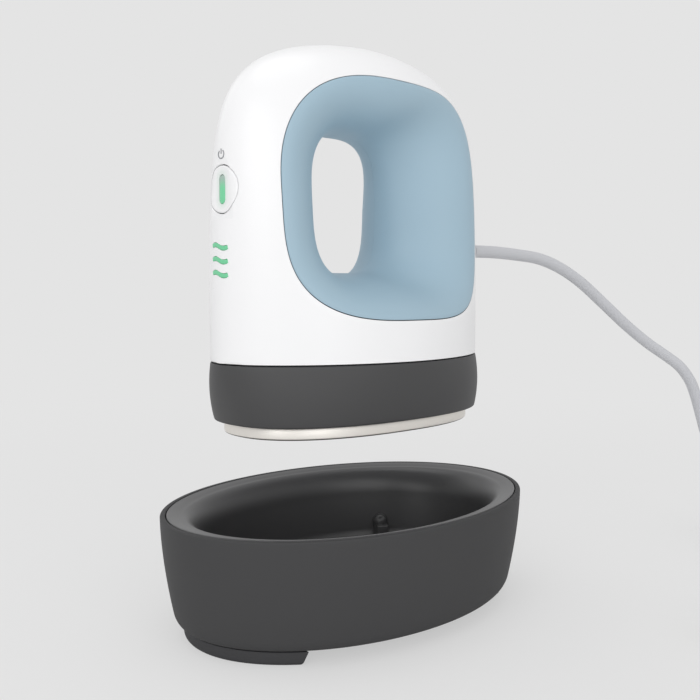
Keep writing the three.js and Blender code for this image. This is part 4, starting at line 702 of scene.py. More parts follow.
def bar_finish(colours, size, middle):
    """A lit green bar that fades to frosted grey at its rim and its upper end."""
    finish = Finish("bar_green", Emission_Strength=0.16)
    lit = Vector(middle) - Vector((0, 0, 1.9 * MM))
    reach = (size.bar_length - size.bar_width) / 2 - 1.2 * MM
    inputs = {"Middle": lit, "Half Length": reach, "Inner": 0.4 * MM, "Outer": 4.4 * MM}
    mask = finish.group(glow_group, inputs)["Mask"]
    tint = finish.mixed(mask, rgb(168, 190, 180), colours.green)
    finish.link(finish.mixed(mask, (0, 0, 0), colours.green), "Emission Color")
    finish.bump(finish.grain(tint, 1800, 0.35, 0.05), 0.01 * MM)
    return finish.material


def liner_finish(colours, lip_z):
    """Charcoal moulding, painted lighter on the lip as if lit from above and painted darker down in the
    cavity as if in shade.
    """
    finish = Finish("liner_charcoal")
    height = finish.node("ShaderNodeSeparateXYZ", {0: finish.place()}).outputs["Z"]
    # Painted light and shade: this mask runs from the cavity up to the lip.
    inputs = {"Value": height, "From Min": lip_z - 8 * MM, "From Max": lip_z - MM}
    lip = finish.node("ShaderNodeMapRange", inputs, interpolation_type="SMOOTHSTEP").outputs[0]
    # Painted shade deep in the cavity and painted light on the lip.
    deep = [0.95 * value for value in colours.charcoal]
    top = [1.65 * value for value in colours.charcoal]
    finish.bump(finish.grain(finish.mixed(lip, deep, top), 2800, 0.36, 0.05, 35), 0.015 * MM)
    return finish.material


def board_finish():
    """Green solder mask with lighter copper tracks under it."""
    finish = Finish("board_green")
    place = finish.place()
    inputs = {"Vector": place, "Scale": 260.0, "Randomness": 0.25}
    cells = finish.node("ShaderNodeTexVoronoi", inputs, distance="MANHATTAN").outputs["Distance"]
    inputs = {"Value": cells, "From Min": 0.42, "From Max": 0.5}
    edges = finish.node("ShaderNodeMapRange", inputs).outputs[0]
    tint = finish.mixed(edges, rgb(34, 98, 62), rgb(60, 140, 88))
    height = finish.grain(tint, 900, 0.4, 0.06)
    finish.bump(finish.math("ADD", edges, height), 0.04 * MM)
    return finish.material


def strap_finish():
    """Woven black strap with a napped face."""
    finish = Finish("strap_black", Sheen_Weight=0.3)
    height = finish.grain(rgb(44, 45, 48), 5200, 0.85, 0.4)
    inputs = {"Vector": finish.place(), "Scale": 900.0, "Distortion": 1.5}
    weave = finish.node("ShaderNodeTexWave", inputs).outputs["Fac"]
    finish.bump(finish.math("ADD", weave, height), 0.12 * MM)
    return finish.material


def floor_finish(tint):
    """Pale floor. It keeps a soft shadow near the object and meets the backdrop's tone further out."""
    finish = Finish("floor_pale")
    finish.bump(finish.grain([1.14 * value for value in tint], 300, 0.9, 0.006, 8), 0.05 * MM, 0.1)
    away = finish.node("ShaderNodeVectorMath", {0: finish.place()}, operation="LENGTH").outputs["Value"]
    far_inputs = {"Value": away, "From Min": 0.1, "From Max": 0.55, "To Min": 0.65, "To Max": 1.0}
    far = finish.node("ShaderNodeMapRange", far_inputs, interpolation_type="SMOOTHSTEP").outputs[0]
    seen = finish.math("MULTIPLY", far, finish.node("ShaderNodeLightPath").outputs["Is Camera Ray"])
    backdrop = finish.node("ShaderNodeEmission", {"Color": opaque(tint)}).outputs[0]
    inputs = {0: seen, 1: finish.shader.outputs[0], 2: backdrop}
    both = finish.node("ShaderNodeMixShader", inputs)
    target = next(node for node in finish.nodes if node.bl_idname == "ShaderNodeOutputMaterial")
    finish.links.new(both.outputs[0], target.inputs["Surface"])
    return finish.material


# Camera, lights and floor

class HEAT_PRESS_OT_stage(bpy.types.Operator):
    """Camera at the photographed angle, soft lamps, a pale world and a pale floor"""

    bl_idname = "heat_press.stage"
    bl_label = "Stage"
    bl_options = {"REGISTER", "UNDO"}

    def execute(self, context):
        scene = context.scene
        colours = scene.heat_press_colours
        camera_data = bpy.data.cameras.new("camera")
        camera_data.lens = 45.70
        camera_data.sensor_width = 36
        camera_data.shift_x = -0.00214
        camera_data.shift_y = 0.0093
        camera_data.clip_start = 0.01
        camera = linked("camera", camera_data)
        camera.location = (-177.8 * MM, -197.5 * MM, 96.4 * MM)
        camera.rotation_euler = (math.radians(85.6), 0, math.radians(-42))
        scene.camera = camera
        scene.view_settings.view_transform = "Standard"

        lamps = (
            ("key_lamp", (-1.15, -0.55, 0.65), 1.0, 4.3),
            ("fill_lamp", (-0.3, -1.35, 0.5), 1.0, 3.2),
            ("top_lamp", (-0.1, 0.1, 1.4), 1.0, 2.5),
            ("rear_lamp", (-0.3, 1.1, 0.8), 0.8, 0.7),
        )
        for name, place, size, power in lamps:
            lamp = bpy.data.lights.new(name, "AREA")
            lamp.shape = "DISK"
            lamp.size = size
            lamp.energy = power
            obj = linked(name, lamp)
            obj.location = place
            obj.rotation_euler = (Vector((0, 0, 0.08)) - Vector(place)).to_track_quat("-Z", "Y").to_euler()

        world = bpy.data.worlds.new("world")
        scene.world = world
        world.use_nodes = True
        build = Tree(world.node_tree)
        background = world.node_tree.nodes["Background"]
        path = build.node("ShaderNodeLightPath").outputs
        through_or_off = build.math("MAXIMUM", path["Is Glossy Ray"], path["Is Transmission Ray"])
        seen = build.math("MAXIMUM", path["Is Camera Ray"], through_or_off)
        inputs = {"Value": seen, "To Min": 0.61, "To Max": 1.0}
        strength = build.node("ShaderNodeMapRange", inputs).outputs[0]
        build.links.new(strength, background.inputs["Strength"])
        build.links.new(build.mixed(seen, (1, 1, 1), colours.floor), background.inputs["Color"])

        reach = 3.0
        corners = [(-reach, -reach, 0), (reach, -reach, 0), (reach, reach, 0), (-reach, reach, 0)]
        floor = mesh_object("floor", corners, [(0, 1, 2, 3)])
        floor.data.materials.append(floor_finish(colours.floor))
        return {"FINISHED"}


# Cord, tie and plug

LEAD_ROUTE = (
    (54.8, 0, 108.8),
    (65, -0.2, 108.8),
    (76.3, -0.7, 108.3),
    (90.4, -2, 106.9),
    (100.3, -3.8, 103.8),
    (109.8, -6.4, 98.6),
    (119.8, -9.8, 90.8),
    (129.6, -13.8, 82.4),
    (138.3, -18.1, 75.3),
    (145.8, -22.7, 69.6),
    (149.3, -26, 65.9),
    (152.2, -28.7, 60.7),
    (153.8, -30.1, 55.9),
    (156.8, -32.9, 42.2),
    (159.7, -35.7, 28.9),
    (162.6, -38.4, 15.5),
    (166.2, -41.7, 7.5),
    (169.2, -44.5, 4.4),
    (172.7, -47.8, 2.4),
)
TAIL_ROUTE = (
    (146, -111.6, 15.2),
    (135.5, -110.4, 12.2),
    (125.5, -108.1, 8.4),
)
COIL_CENTRE = (162, -80)
COIL_START = 45
TIE_ANGLE = 150
PLUG_PLACE = (111, -106)
PLUG_HEADING = 175
CORD_INNER_X = 28.6


def coil_route(size):
    """The spare length's turns: it spirals in and out and climbs a layer where it reverses."""
    layer_turns = size.turns / size.layers
    pitch = 2 * size.radius + size.space
    outer = size.middle_radius + pitch * layer_turns / 2
    steps = round(24 * size.turns)
    route = []
    for i in range(steps + 1):
        turn = size.turns * i / steps
        layer = min(size.layers - 1, int(turn / layer_turns))
        within = turn - layer * layer_turns
        inward = within if layer % 2 == 0 else layer_turns - within
        radius = outer - pitch * inward
        level = sum(smooth((turn - k * layer_turns) / 0.5 + 0.5) for k in range(1, size.layers))
        angle = math.radians(COIL_START - 360 * turn)
        x = COIL_CENTRE[0] * MM + radius * math.cos(angle)
        y = COIL_CENTRE[1] * MM + radius * math.sin(angle)
        z = 0.8 * size.radius + pitch * level
        route.append(Vector((x, y, max(z, size.radius))))
    start = math.radians(COIL_START + 90)
    end = math.radians(COIL_START - 360 * size.turns - 90)
    route.insert(0, route[0] + 2 * size.radius * Vector((math.cos(start), math.sin(start), 0)))
    route.append(route[-1] + 2 * size.radius * Vector((math.cos(end), math.sin(end), 0)))
    return route


def through(points, steps):
    """A smooth line through points, with centripetal spacing."""
    padded = [2 * points[0] - points[1], *points, 2 * points[-1] - points[-2]]
    line = []
    for k in range(1, len(padded) - 2):
        corners = padded[k - 1:k + 3]
        knots = [0.0]
        for a, b in zip(corners, corners[1:]):
            knots.append(knots[-1] + max((b - a).length, 1e-9) ** 0.5)
        for s in range(steps):
            at = knots[1] + (knots[2] - knots[1]) * s / steps
            line.append(between(corners, knots, at))
    line.append(points[-1].copy())
    return line


def between(corners, knots, at):
    """A point of the curve that runs from the second corner to the third."""

    def mixed(first, second, low, high):
        return first.lerp(second, (at - knots[low]) / (knots[high] - knots[low]))

    near = [mixed(corners[i], corners[i + 1], i, i + 1) for i in range(3)]
    wide = [mixed(near[i], near[i + 1], i, i + 2) for i in range(2)]
    return mixed(wide[0], wide[1], 1, 2)


class HEAT_PRESS_OT_cord(bpy.types.Operator):
    """The whole cord as one tube, with the tie on its coil and the plug at its end"""

    bl_idname = "heat_press.cord"
    bl_label = "Cord"
    bl_options = {"REGISTER", "UNDO"}

    def execute(self, context):
        size = context.scene.heat_press_cord
        colours = context.scene.heat_press_colours
        lead = [Vector(point) * MM for point in LEAD_ROUTE]
        exit_point = lead[0].copy()
        inner = [Vector((x * MM, 0, exit_point.z)) for x in (CORD_INNER_X, 36, 46)]
        coil = coil_route(size)
        tail = [Vector(point) * MM for point in TAIL_ROUTE]
        plug_at = Vector((PLUG_PLACE[0] * MM, PLUG_PLACE[1] * MM, size.plug_height / 2))
        heading = math.radians(PLUG_HEADING)
        ahead = Vector((math.cos(heading), math.sin(heading), 0))
        ahead_of_coil = coil[0] + (coil[0] - coil[1]).normalized() * 6 * MM
        behind_coil = coil[-1] + (coil[-1] - coil[-2]).normalized() * 6 * MM
        start = through([*inner, *lead, ahead_of_coil, coil[0]], 8)[:-1]
        turns = through(coil, 3)
        into_plug = [plug_at + ahead * reach * MM for reach in (-6, 0, 12)]
        ending = through([coil[-1], behind_coil, *tail, *into_plug], 8)[1:]
        route = [*start, *turns, *ending]
        cord = grown("mains_cord", route, tube_tree, {"Radius": size.radius, "Sides": 20}, line=True)
        jacket = plain("cord_jacket", colours.cord, 2200, 0.5, 0.03 * MM, 0.05)
        nodes = ("cord_lead", "cord_coil", "cord_tail", "cord_inner_end")
        piece(cord, jacket, None, nodes)
        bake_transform(cord)

        tie = build_tie(size)
        plug, blades = build_plug(size, colours, plug_at, heading)
        with_pieces = [tie, plug, *blades]
        return {"FINISHED"}


def build_tie(size):
    """The strap that holds the coil's turns together, a flat band with rounded corners."""
    low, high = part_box("cord_tie")
    pitch = 2 * size.radius + size.space
    spread = pitch * size.turns / size.layers
    outer_slack, inner_slack = 0.9 * MM, 1.1 * MM
    outer = size.middle_radius + spread / 2 + size.radius + outer_slack
    inner = size.middle_radius - spread / 2 - size.radius - inner_slack
    top = high.z
    thick = size.tie_thickness
    corner = 2.4 * MM
    arcs = (
        (outer - corner, corner, -90), (outer - corner, top - corner, 0),
        (inner + corner, top - corner, 90), (inner + corner, corner, 180),
    )
    path = []
    for x, z, start in arcs:
        for k in range(7):
            angle = math.radians(start + 15 * k)
            path.append((x, z, math.cos(angle), math.sin(angle)))
    turn = Matrix.Rotation(math.radians(TIE_ANGLE), 4, "Z")
    centre = Vector((COIL_CENTRE[0] * MM, COIL_CENTRE[1] * MM, 0))
    half = size.tie_width / 2
    loops = []
    for x, z, nx, nz in path:
        loop = []
        for depth, y in ((0, -half), (0, half), (thick, half), (thick, -half)):
            reach = corner - depth
            point = Vector((x + nx * reach, y, z + nz * reach))
            loop.append(centre + turn @ point)
        loops.append(loop)
    tie = bevelled(wreath("cord_tie_strap", loops), 0.15 * MM)
    return piece(tie, strap_finish(), "base", ["cord_tie"])


def build_plug(size, colours, place, heading):
    """Moulded plug with finger ridges and a tapered tail, and its two blades."""
    turn = Matrix.Translation(place) @ Matrix.Rotation(heading, 4, "Z")

    def ring(x, half_width, half_height, fullness, sides=48):
        loop = []
        for k in range(sides):
            y = squared(math.cos(TURN * k / sides), half_width, fullness)
            z = squared(math.sin(TURN * k / sides), half_height, fullness)
            loop.append(turn @ Vector((x, y, z)))
        return loop

    tail, ribs, groove = size.plug_relief, 12, 0.35 * MM
    point = 1e-6
    rings = [ring(0, point, point, 2)]
    for k in range(ribs + 1):
        share = k / ribs
        radius = size.radius + (0.6 + 2.0 * share) * MM - (groove if k % 2 else 0)
        x = share * (tail - 2 * MM)
        rings += [ring(x, radius, radius, 2), ring(x + 0.9 * MM, radius, radius, 2)]
    half_width, half_height = size.plug_width / 2, size.plug_height / 2
    shoulder, rounding, steps = 9 * MM, 3 * MM, 8
    ridges = (4, 6)
    for k in range(steps + 1):
        x = tail - MM + shoulder * k / steps
        inset = rounding * (1 - math.sin(math.pi / 2 * k / steps))
        ridge = 0.5 * MM if k in ridges else 0
        rings.append(ring(x, half_width - inset - ridge, half_height - inset, 4))
    front, edge, half_edge = tail - MM + size.plug_length, 0.8 * MM, 0.25 * MM
    for back, inset in ((edge, 0), (half_edge, half_edge), (0, edge)):
        rings.append(ring(front - back, half_width - inset, half_height - inset, 4))
    rings.append(ring(front, point, point, 2))
    faces = ring_faces(len(rings), len(rings[0]))
    body = mesh_object("plug_moulding", [point for loop in rings for point in loop], faces)
    body_finish = plain("plug_grey", colours.cord, 2200, 0.45, 0.03 * MM, 0.05)
    plug = piece(body, body_finish, "base", ["plug_body"])
    brass = plain("blade_brass", rgb(214, 190, 132), 1400, 0.3, 0.01 * MM, 0.08, Metallic=1.0)
    blades = []
    for k, side in ((1, -1), (2, 1)):
        blade = build_blade(f"plug_pin_{k}", turn, side * 6.35 * MM, front)
        blades.append(piece(blade, brass, "base", [f"plug_blade_{k}"]))
    return plug, blades


def build_blade(name, turn, y, front):
    """A flat blade with a tapered tip and the usual hole."""
    half, thick, reach, root = 3.2 * MM, 0.8 * MM, 17 * MM, -6 * MM
    tip, narrow = reach - 1.6 * MM, half - 1.1 * MM
    outline = [(root, -half), (tip, -half), (reach, -narrow), (reach, narrow), (tip, half), (root, half)]
    blade = prism(name, outline, y - thick, y + thick, lambda u, v, w: turn @ Vector((front + u, w, v)))
    radius, beyond = 1.55 * MM, 3 * MM
    profile = [(0, -beyond), (radius, -beyond), (radius, beyond), (0, beyond)]
    hole = lathed("hole", profile, (0, 0, 0), (0, 1, 0), 24)
    hole.data.transform(turn @ Matrix.Translation((front + reach - 4.2 * MM, y, 0)))
    return bevelled(cut(blade, hole), 0.15 * MM)


# White body shell

def body_profile(size, z, inset, power, root):
    share = min(1, max(0, (z - shell_low.z) / (shell_high.z - shell_low.z - inset)))
    return (1 - share ** power) ** (1 / root)


def body_centre(size, z):
    rise = z - shell_low.z - size.lean_start
    return size.lean * smooth(rise / (size.lean_end - size.lean_start))


def body_half_length(size, z, inset=0):
    return (size.half_length - inset) * body_profile(size, z, inset, size.side_power, size.side_root)


def body_y(size, x, z, inset=0):
    """Half of the body's width at a point of its side view."""
    half = max(body_half_length(size, z, inset), 1e-9)
    share = abs(x - body_centre(size, z)) / half
    width = (size.half_width - inset) * body_profile(size, z, inset, size.front_power, size.front_root)
    fullness = size.section_fullness
    return width * max(0, 1 - share ** fullness) ** (1 / fullness)


def body_normal(size, x, z):
    """The way out of the body's side at a point of its side view, for the side at +Y."""
    step = 0.1 * MM
    slope_x = (body_y(size, x + step, z) - body_y(size, x - step, z)) / (2 * step)
    slope_z = (body_y(size, x, z + step) - body_y(size, x, z - step)) / (2 * step)
    return Vector((-slope_x, 1, -slope_z)).normalized()


def seam_centre(size):
    return size.seam_x, shell_low.z + size.seam_rise


def seam_fullness(c, s):
    """How square each corner of the grip's outline is."""
    if s < 0:
        return 3.5
    return 2.6 if c < 0 else 5


def seam_reach(size, angle):
    """From the seam's centre to the seam, in one direction."""
    c, s = math.cos(angle), math.sin(angle)
    n = seam_fullness(c, s)
    return (abs(c / size.seam_half_length) ** n + abs(s / size.seam_half_height) ** n) ** (-1 / n)


def rim_reach(size, angle, inset=0):
    """From the seam's centre to the edge of the body's side view, in one direction."""
    cx, cz = seam_centre(size)
    c, s = math.cos(angle), math.sin(angle)
    near, far = 0, 2 * size.half_length
    for _ in range(48):
        middle = (near + far) / 2
        x, z = cx + middle * c, cz + middle * s
        inside = z > shell_low.z and abs(x - body_centre(size, z)) < body_half_length(size, z, inset)
        near, far = (middle, far) if inside else (near, middle)
    return near


def shell_angles(size):
    """Directions round the seam's centre, with one at each end of the shell's lower edge."""
    cx, cz = seam_centre(size)
    front = math.atan2(shell_low.z - cz, -size.half_length - cx)
    rear = math.atan2(shell_low.z - cz, size.half_length - cx)
    lower, upper = 72, 260
    angles = [front + (rear - front) * k / lower for k in range(lower)]
    angles += [rear + (front + TURN - rear) * k / upper for k in range(upper)]
    return angles, lower


OUTER_STEPS = 28
# Points of a section on the seam's groove wall. These get the painted shade.
SEAM_POINTS = range(OUTER_STEPS + 2, OUTER_STEPS + 7)


def shell_section(size, angle, side, lower):
    """One direction's section, from the outer rim to the seam, round the ledge and back inside."""
    cx, cz = seam_centre(size)
    c, s = math.cos(angle), math.sin(angle)
    start, rim = seam_reach(size, angle), rim_reach(size, angle)
    fold = 0.5 * MM
    points = []
    for k in range(OUTER_STEPS, -1, -1):
        reach = start + fold + (rim - start - fold) * math.sin(math.pi / 2 * k / OUTER_STEPS)
        x, z = cx + reach * c, cz + reach * s
        on_rim = k == OUTER_STEPS
        y = body_y(size, x, z)
        if on_rim and not lower:
            y = 0
        if on_rim and lower:
            z = shell_low.z
        points.append((x, side * y, z))
    ledge = size.grip_thickness + 0.5 * MM
    deep = ledge + 1.8 * MM
    turns = ((0.06, 0.05 * MM), (0, 0.3 * MM), (0, ledge), (-1.6, ledge), (-1.6, deep), (1.6, deep))
    for outwards, depth in turns:
        x, z = cx + (start + outwards * MM) * c, cz + (start + outwards * MM) * s
        normal = body_normal(size, x, z)
        point = Vector((x, body_y(size, x, z), z)) - normal * depth
        points.append((point.x, side * point.y, point.z))
    inner_x = cx + rim * c
    inner_z = cz + rim * s
    if lower:
        inner_x *= (size.half_length - size.wall) / size.half_length
        inner_z = shell_low.z
    turned = math.atan2(inner_z - cz, inner_x - cx)
    inner_rim = rim_reach(size, turned, size.wall)
    inner_start = seam_reach(size, turned) + 1.6 * MM
    inner_steps = 10
    for k in range(inner_steps + 1):
        reach = inner_start + (inner_rim - inner_start) * math.sin(math.pi / 2 * k / inner_steps)
        x, z = cx + reach * math.cos(turned), cz + reach * math.sin(turned)
        y = body_y(size, x, z, size.wall)
        if k == inner_steps:
            y = y if lower else 0
            z = shell_low.z if lower else z
        points.append((x, side * y, z))
    return points


class HEAT_PRESS_OT_shell(bpy.types.Operator):
    """The white body: a thin shell with an opening in each side, a flat nose and its holes"""

    bl_idname = "heat_press.shell"
    bl_label = "Body shell"
    bl_options = {"REGISTER", "UNDO"}

    def execute(self, context):
        size = context.scene.heat_press_sizes
        colours = context.scene.heat_press_colours
        angles, lower = shell_angles(size)
        points, faces, shade = [], [], []
        for side in (-1, 1):
            first = len(points)
            for index, angle in enumerate(angles):
                section = shell_section(size, angle, side, index <= lower)
                points += section
                # Painted shade on the groove walls at the seam.
                shade += [float(k in SEAM_POINTS) for k in range(len(section))]
            total = (len(points) - first) // len(angles)
            for index in range(len(angles)):
                a = first + index * total
                b = first + (index + 1) % len(angles) * total
                faces += [(a + k, a + k + 1, b + k + 1, b + k) for k in range(total - 1)]
                if index < lower:
                    faces.append((a, b, b + total - 1, a + total - 1))
        shell = closed(mesh_object("white_shell", points, faces, shade))

        beyond = 2 * size.half_length
        flat_x = size.nose_flat - size.half_length
        wide = size.half_width
        flat_low, flat_high = button_z - 7.7 * MM, button_z + 18 * MM
        flat = box_object("flat", (-beyond, -wide, flat_low), (flat_x, wide, flat_high))
        inside_x = 38 * MM
        hole_radius = size.button_radius + size.gap
        edge = 0.15 * MM
        hole_profile = (
            (0, -beyond), (hole_radius + edge, -beyond), (hole_radius + edge, flat_x),
            (hole_radius, flat_x + edge), (hole_radius, -inside_x), (0, -inside_x),
        )
        button_hole = lathed("button_hole", hole_profile, (0, 0, button_z), (1, 0, 0), 96)
        cord_radius = 4.9 * MM
        cord_profile = [(0, inside_x), (cord_radius, inside_x), (cord_radius, beyond), (0, beyond)]
        cord_hole = lathed("cord_hole", cord_profile, (0, 0, relief_z), (1, 0, 0), 48)
        slots = []
        for z in wave_heights():
            outline = wave_outline(size, z, 0.12 * MM)
            slots.append(prism("wave_slot", outline, -beyond, -size.half_length + 5 * MM, along_x))
        cut(shell, flat, button_hole, cord_hole, *slots)
        # Colour of the painted shade on the seam's groove walls.
        dark = rgb(96, 108, 118)
        white = plain("shell_white", colours.white, 2600, 0.3, 0.006 * MM, 0.012, patch=30, seam=dark)
        piece(shell, white, "press", ["body_shell"], 26)
        return {"FINISHED"}


def wave_heights():
    """Heights of the three wave marks, in line with the lamps behind them."""
    return [middle_of(f"wave_led_{k}")[2] for k in (1, 2, 3)]


def wave_line(size, clearance=0.0, steps=24):
    """The middle line of a wave mark across the nose, as (y, rise)."""
    reach = size.wave_half_width + clearance
    line = []
    for k in range(steps + 1):
        share = 2 * k / steps - 1
        rise = size.wave_amplitude * math.sin(math.pi * share) + size.wave_tilt * share
        line.append((share * reach, rise))
    return line


def wave_outline(size, z, clearance):
    half = size.wave_stroke / 2 + clearance
    line = wave_line(size, clearance)
    return [(y, z + rise - half) for y, rise in line] + [(y, z + rise + half) for y, rise in reversed(line)]


def nose_x(size, y, z):
    """Where the nose's surface is at a point of the front view."""
    width = size.half_width * body_profile(size, z, 0, size.front_power, size.front_root)
    fullness = size.section_fullness
    reach = body_half_length(size, z) * max(0, 1 - (abs(y) / width) ** fullness) ** (1 / fullness)
    return body_centre(size, z) - reach


class HEAT_PRESS_OT_marks(bpy.types.Operator):
    """The generic power symbol over the button, a broken ring and a bar, printed on the nose"""

    bl_idname = "heat_press.marks"
    bl_label = "Power symbol"
    bl_options = {"REGISTER", "UNDO"}

    def execute(self, context):
        size = context.scene.heat_press_sizes
        colours = context.scene.heat_press_colours
        middle_z = button_z + size.button_radius + 2.9 * MM
        radius = size.symbol_radius
        steps = 20
        half_break = 38
        ring = []
        for k in range(steps + 1):
            angle = math.radians(90 + half_break + (360 - 2 * half_break) * k / steps)
            ring.append((1.15 * radius * math.cos(angle), middle_z + radius * math.sin(angle)))
        bar = [(0, middle_z + radius * (0.1 + 1.2 * k / 4)) for k in range(5)]
        flat_x = size.nose_flat - size.half_length
        strokes = []
        values = {"Radius": size.symbol_stroke / 2, "Sides": 10}
        for line in (ring, bar):
            points = [(max(nose_x(size, y, z), flat_x), y, z) for y, z in line]
            strokes.append(grown("stroke", points, tube_tree, values, line=True))
        symbol = joined("power_symbol", strokes)
        ink = plain("mark_ink", colours.mark, 2800, 0.5, 0.01 * MM, 0.1)
        piece(symbol, ink, "press")
        return {"FINISHED"}


# Grips

def grip_loops(size, side, around=220, across=36):
    """Sections of a grip: each rolls in from the seam to the hole and ends at the middle plane."""
    cx, cz = seam_centre(size)
    hole_z = shell_low.z + size.hole_rise

    loops = []
    parting = 0.03 * MM
    seam_gap = 0.5 * size.gap
    seam_long, seam_high = size.seam_half_length - seam_gap, size.seam_half_height - seam_gap
    for i in range(around):
        angle = TURN * i / around
        c, s = math.cos(angle), math.sin(angle)
        fullness = seam_fullness(c, s)
        seam = Vector((cx + squared(c, seam_long, fullness), cz + squared(s, seam_high, fullness)))
        fullness = size.hole_bottom if s < 0 else size.hole_top
        hole_x = size.hole_x + squared(c, size.hole_half_length, fullness)
        hole = Vector((hole_x, hole_z + squared(s, size.hole_half_height, fullness)))
        run = (hole - seam).length
        way = (hole - seam) / run
        seam_y = body_y(size, seam.x, seam.y)
        near = 0.5 * MM
        ahead = seam + near * way
        slope = (body_y(size, ahead.x, ahead.y) - seam_y) / near
        tilt = math.hypot(1, slope)
        roll = size.grip_roll * run
        along = size.throat_nose if c < 0 else size.throat_rear
        upright = size.throat_bottom if s < 0 else size.throat_top
        throat = along * c * c + upright * s * s
        controls = (
            Vector((0, seam_y)),
            Vector((roll / tilt, seam_y + roll * slope / tilt)),
            Vector((run, min(throat * seam_y + size.gap, seam_y))),
            Vector((run, parting)),
        )
        outer = [bezier(controls, k / across) for k in range(across + 1)]
        outer[0] = outer[0] + Vector((0.08 * MM, -0.04 * MM))
        inner = [Vector((run - size.grip_thickness, parting))]
        for k in range(across - 3, 2, -3):
            step = outer[k + 1] - outer[k - 1]
            inward = Vector((step.y, -step.x)).normalized()
            inner.append(outer[k] + inward * size.grip_thickness)
        inner.append(Vector((0, seam_y - size.grip_edge * tilt)))
        outer.insert(0, Vector((0.03 * MM, outer[0].y - 0.22 * MM)))
        loop = []
        for reach, y in outer + inner:
            loop.append((seam.x + way.x * reach, side * y, seam.y + way.y * reach))
        loops.append(loop)
    return loops


def bezier(controls, t):
    a, b, c, d = controls
    u = 1 - t
    return u ** 3 * a + 3 * u * u * t * b + 3 * u * t * t * c + t ** 3 * d


class HEAT_PRESS_OT_grips(bpy.types.Operator):
    """The two soft blue linings, one rolled in from each side"""

    bl_idname = "heat_press.grips"
    bl_label = "Grips"
    bl_options = {"REGISTER", "UNDO"}

    def execute(self, context):
        size = context.scene.heat_press_sizes
        colours = context.scene.heat_press_colours
        # Colour of the painted shade at the grip's edges along the seam.
        dark = rgb(90, 106, 118)
        soft = plain("grip_blue", colours.blue, 3400, 0.5, 0.012 * MM, 0.02, patch=40, seam=dark)
        for name, side in (("left", -1), ("right", 1)):
            loops = grip_loops(size, side)
            # Painted shade on the grip's first and last points, at the seam.
            shade = [1.0] + [0.0] * (len(loops[0]) - 2) + [1.0]
            lining = wreath(f"blue_grip_{name}", loops, shade)
            piece(lining, soft, "press", [f"grip_{name}"], 50)
        return {"FINISHED"}


# Skirt and heat plate

def skirt_row(size, z, inset):
    share = min(1, max(0, (z - skirt_low.z) / size.skirt_height))
    narrow = size.skirt_flare * (1 - share) ** 2 + inset
    fullness = size.plate_fullness + (size.section_fullness - size.plate_fullness) * share
    return (size.half_length - narrow, size.half_width - narrow, fullness, z)


class HEAT_PRESS_OT_skirt(bpy.types.Operator):
    """The charcoal lower housing with its inner deck and the tongue that fits in the shell"""

    bl_idname = "heat_press.skirt"
    bl_label = "Skirt"
    bl_options = {"REGISTER", "UNDO"}

    def execute(self, context):
        size = context.scene.heat_press_sizes
        colours = context.scene.heat_press_colours
        low, top = skirt_low.z, skirt_low.z + size.skirt_height
        deck_low = low + size.deck_rise
        deck_top = deck_low + size.deck_thickness
        wall = size.wall
        tongue = wall + 0.5 * MM
        inner_tongue = tongue + 1.6 * MM
        edge = 0.45 * MM
        rows = [(0, 0, 2, deck_top), skirt_row(size, deck_top, wall), skirt_row(size, top - 2.5 * MM, wall)]
        rows.append(skirt_row(size, top - 2.4 * MM, inner_tongue))
        rows += [skirt_row(size, z, inner_tongue) for z in (top, skirt_high.z)]
        rows += [skirt_row(size, z, tongue) for z in (skirt_high.z, top - size.gap)]
        rows.append(skirt_row(size, top - 0.1 * MM, 0.4 * MM))
        for sine, rest in quarter(4):
            rows.append(skirt_row(size, top - 0.1 * MM - 0.3 * MM * rest, 0.3 * MM * (1 - sine)))
        steps = 14
        for k in range(1, steps):
            z = top - 0.5 * MM - (size.skirt_height - 0.5 * MM - edge) * k / steps
            rows.append(skirt_row(size, z, 0))
        for sine, rest in quarter(5):
            rows.append(skirt_row(size, low + edge * (1 - sine), edge * rest))
        rows += [skirt_row(size, z, wall) for z in (low, deck_low)]
        rows.append((0, 0, 2, deck_low))
        skirt = oval_piece("charcoal_skirt", rows)
        charcoal = plain("skirt_charcoal", colours.charcoal, 3000, 0.55, 0.02 * MM, 0.05, patch=50)
        piece(skirt, charcoal, "press", ["skirt"])
        return {"FINISHED"}


class HEAT_PRESS_OT_plate(bpy.types.Operator):
    """The heat plate: a metal edge under the skirt and a coated flat underside"""

    bl_idname = "heat_press.plate"
    bl_label = "Heat plate"
    bl_options = {"REGISTER", "UNDO"}

    def execute(self, context):
        size = context.scene.heat_press_sizes
        colours = context.scene.heat_press_colours
        low, top, edge = plate_low.z, plate_low.z + size.plate_thickness, size.plate_round

        def row(z, inset):
            return (size.plate_half_length - inset, size.plate_half_width - inset, size.plate_fullness, z)

        rows = [(0, 0, 2, low), row(low, 6 * MM)]
        rows += [row(low + edge * rest, edge * (1 - sine)) for sine, rest in quarter(6)]
        rows += [row(top - 0.3 * MM, 0), row(top - 0.09 * MM, 0.09 * MM), row(top, 0.3 * MM)]
        rows += [row(top, 6 * MM), (0, 0, 2, top)]
        plate = [oval_piece("plate_disc", rows)]
        radius, chamfer, root, boss_top = 3.2 * MM, 0.3 * MM, top - 0.5 * MM, plate_high.z
        profile = [(0, root), (radius, root), (radius, boss_top - chamfer)]
        profile += [(radius - chamfer, boss_top), (0, boss_top)]
        boss_x, boss_y = [abs(value) for value in middle_of("plate_screw_4")[:2]]
        for x in (-boss_x, boss_x):
            plate += [lathed("boss", profile, (x, y, 0), (0, 0, 1), 32) for y in (-boss_y, boss_y)]
        whole = joined("coated_heat_plate", plate)
        piece(whole, plate_finish(colours, size, low), "press", ["heat_plate"])
        return {"FINISHED"}


# Button, light bar and wave marks

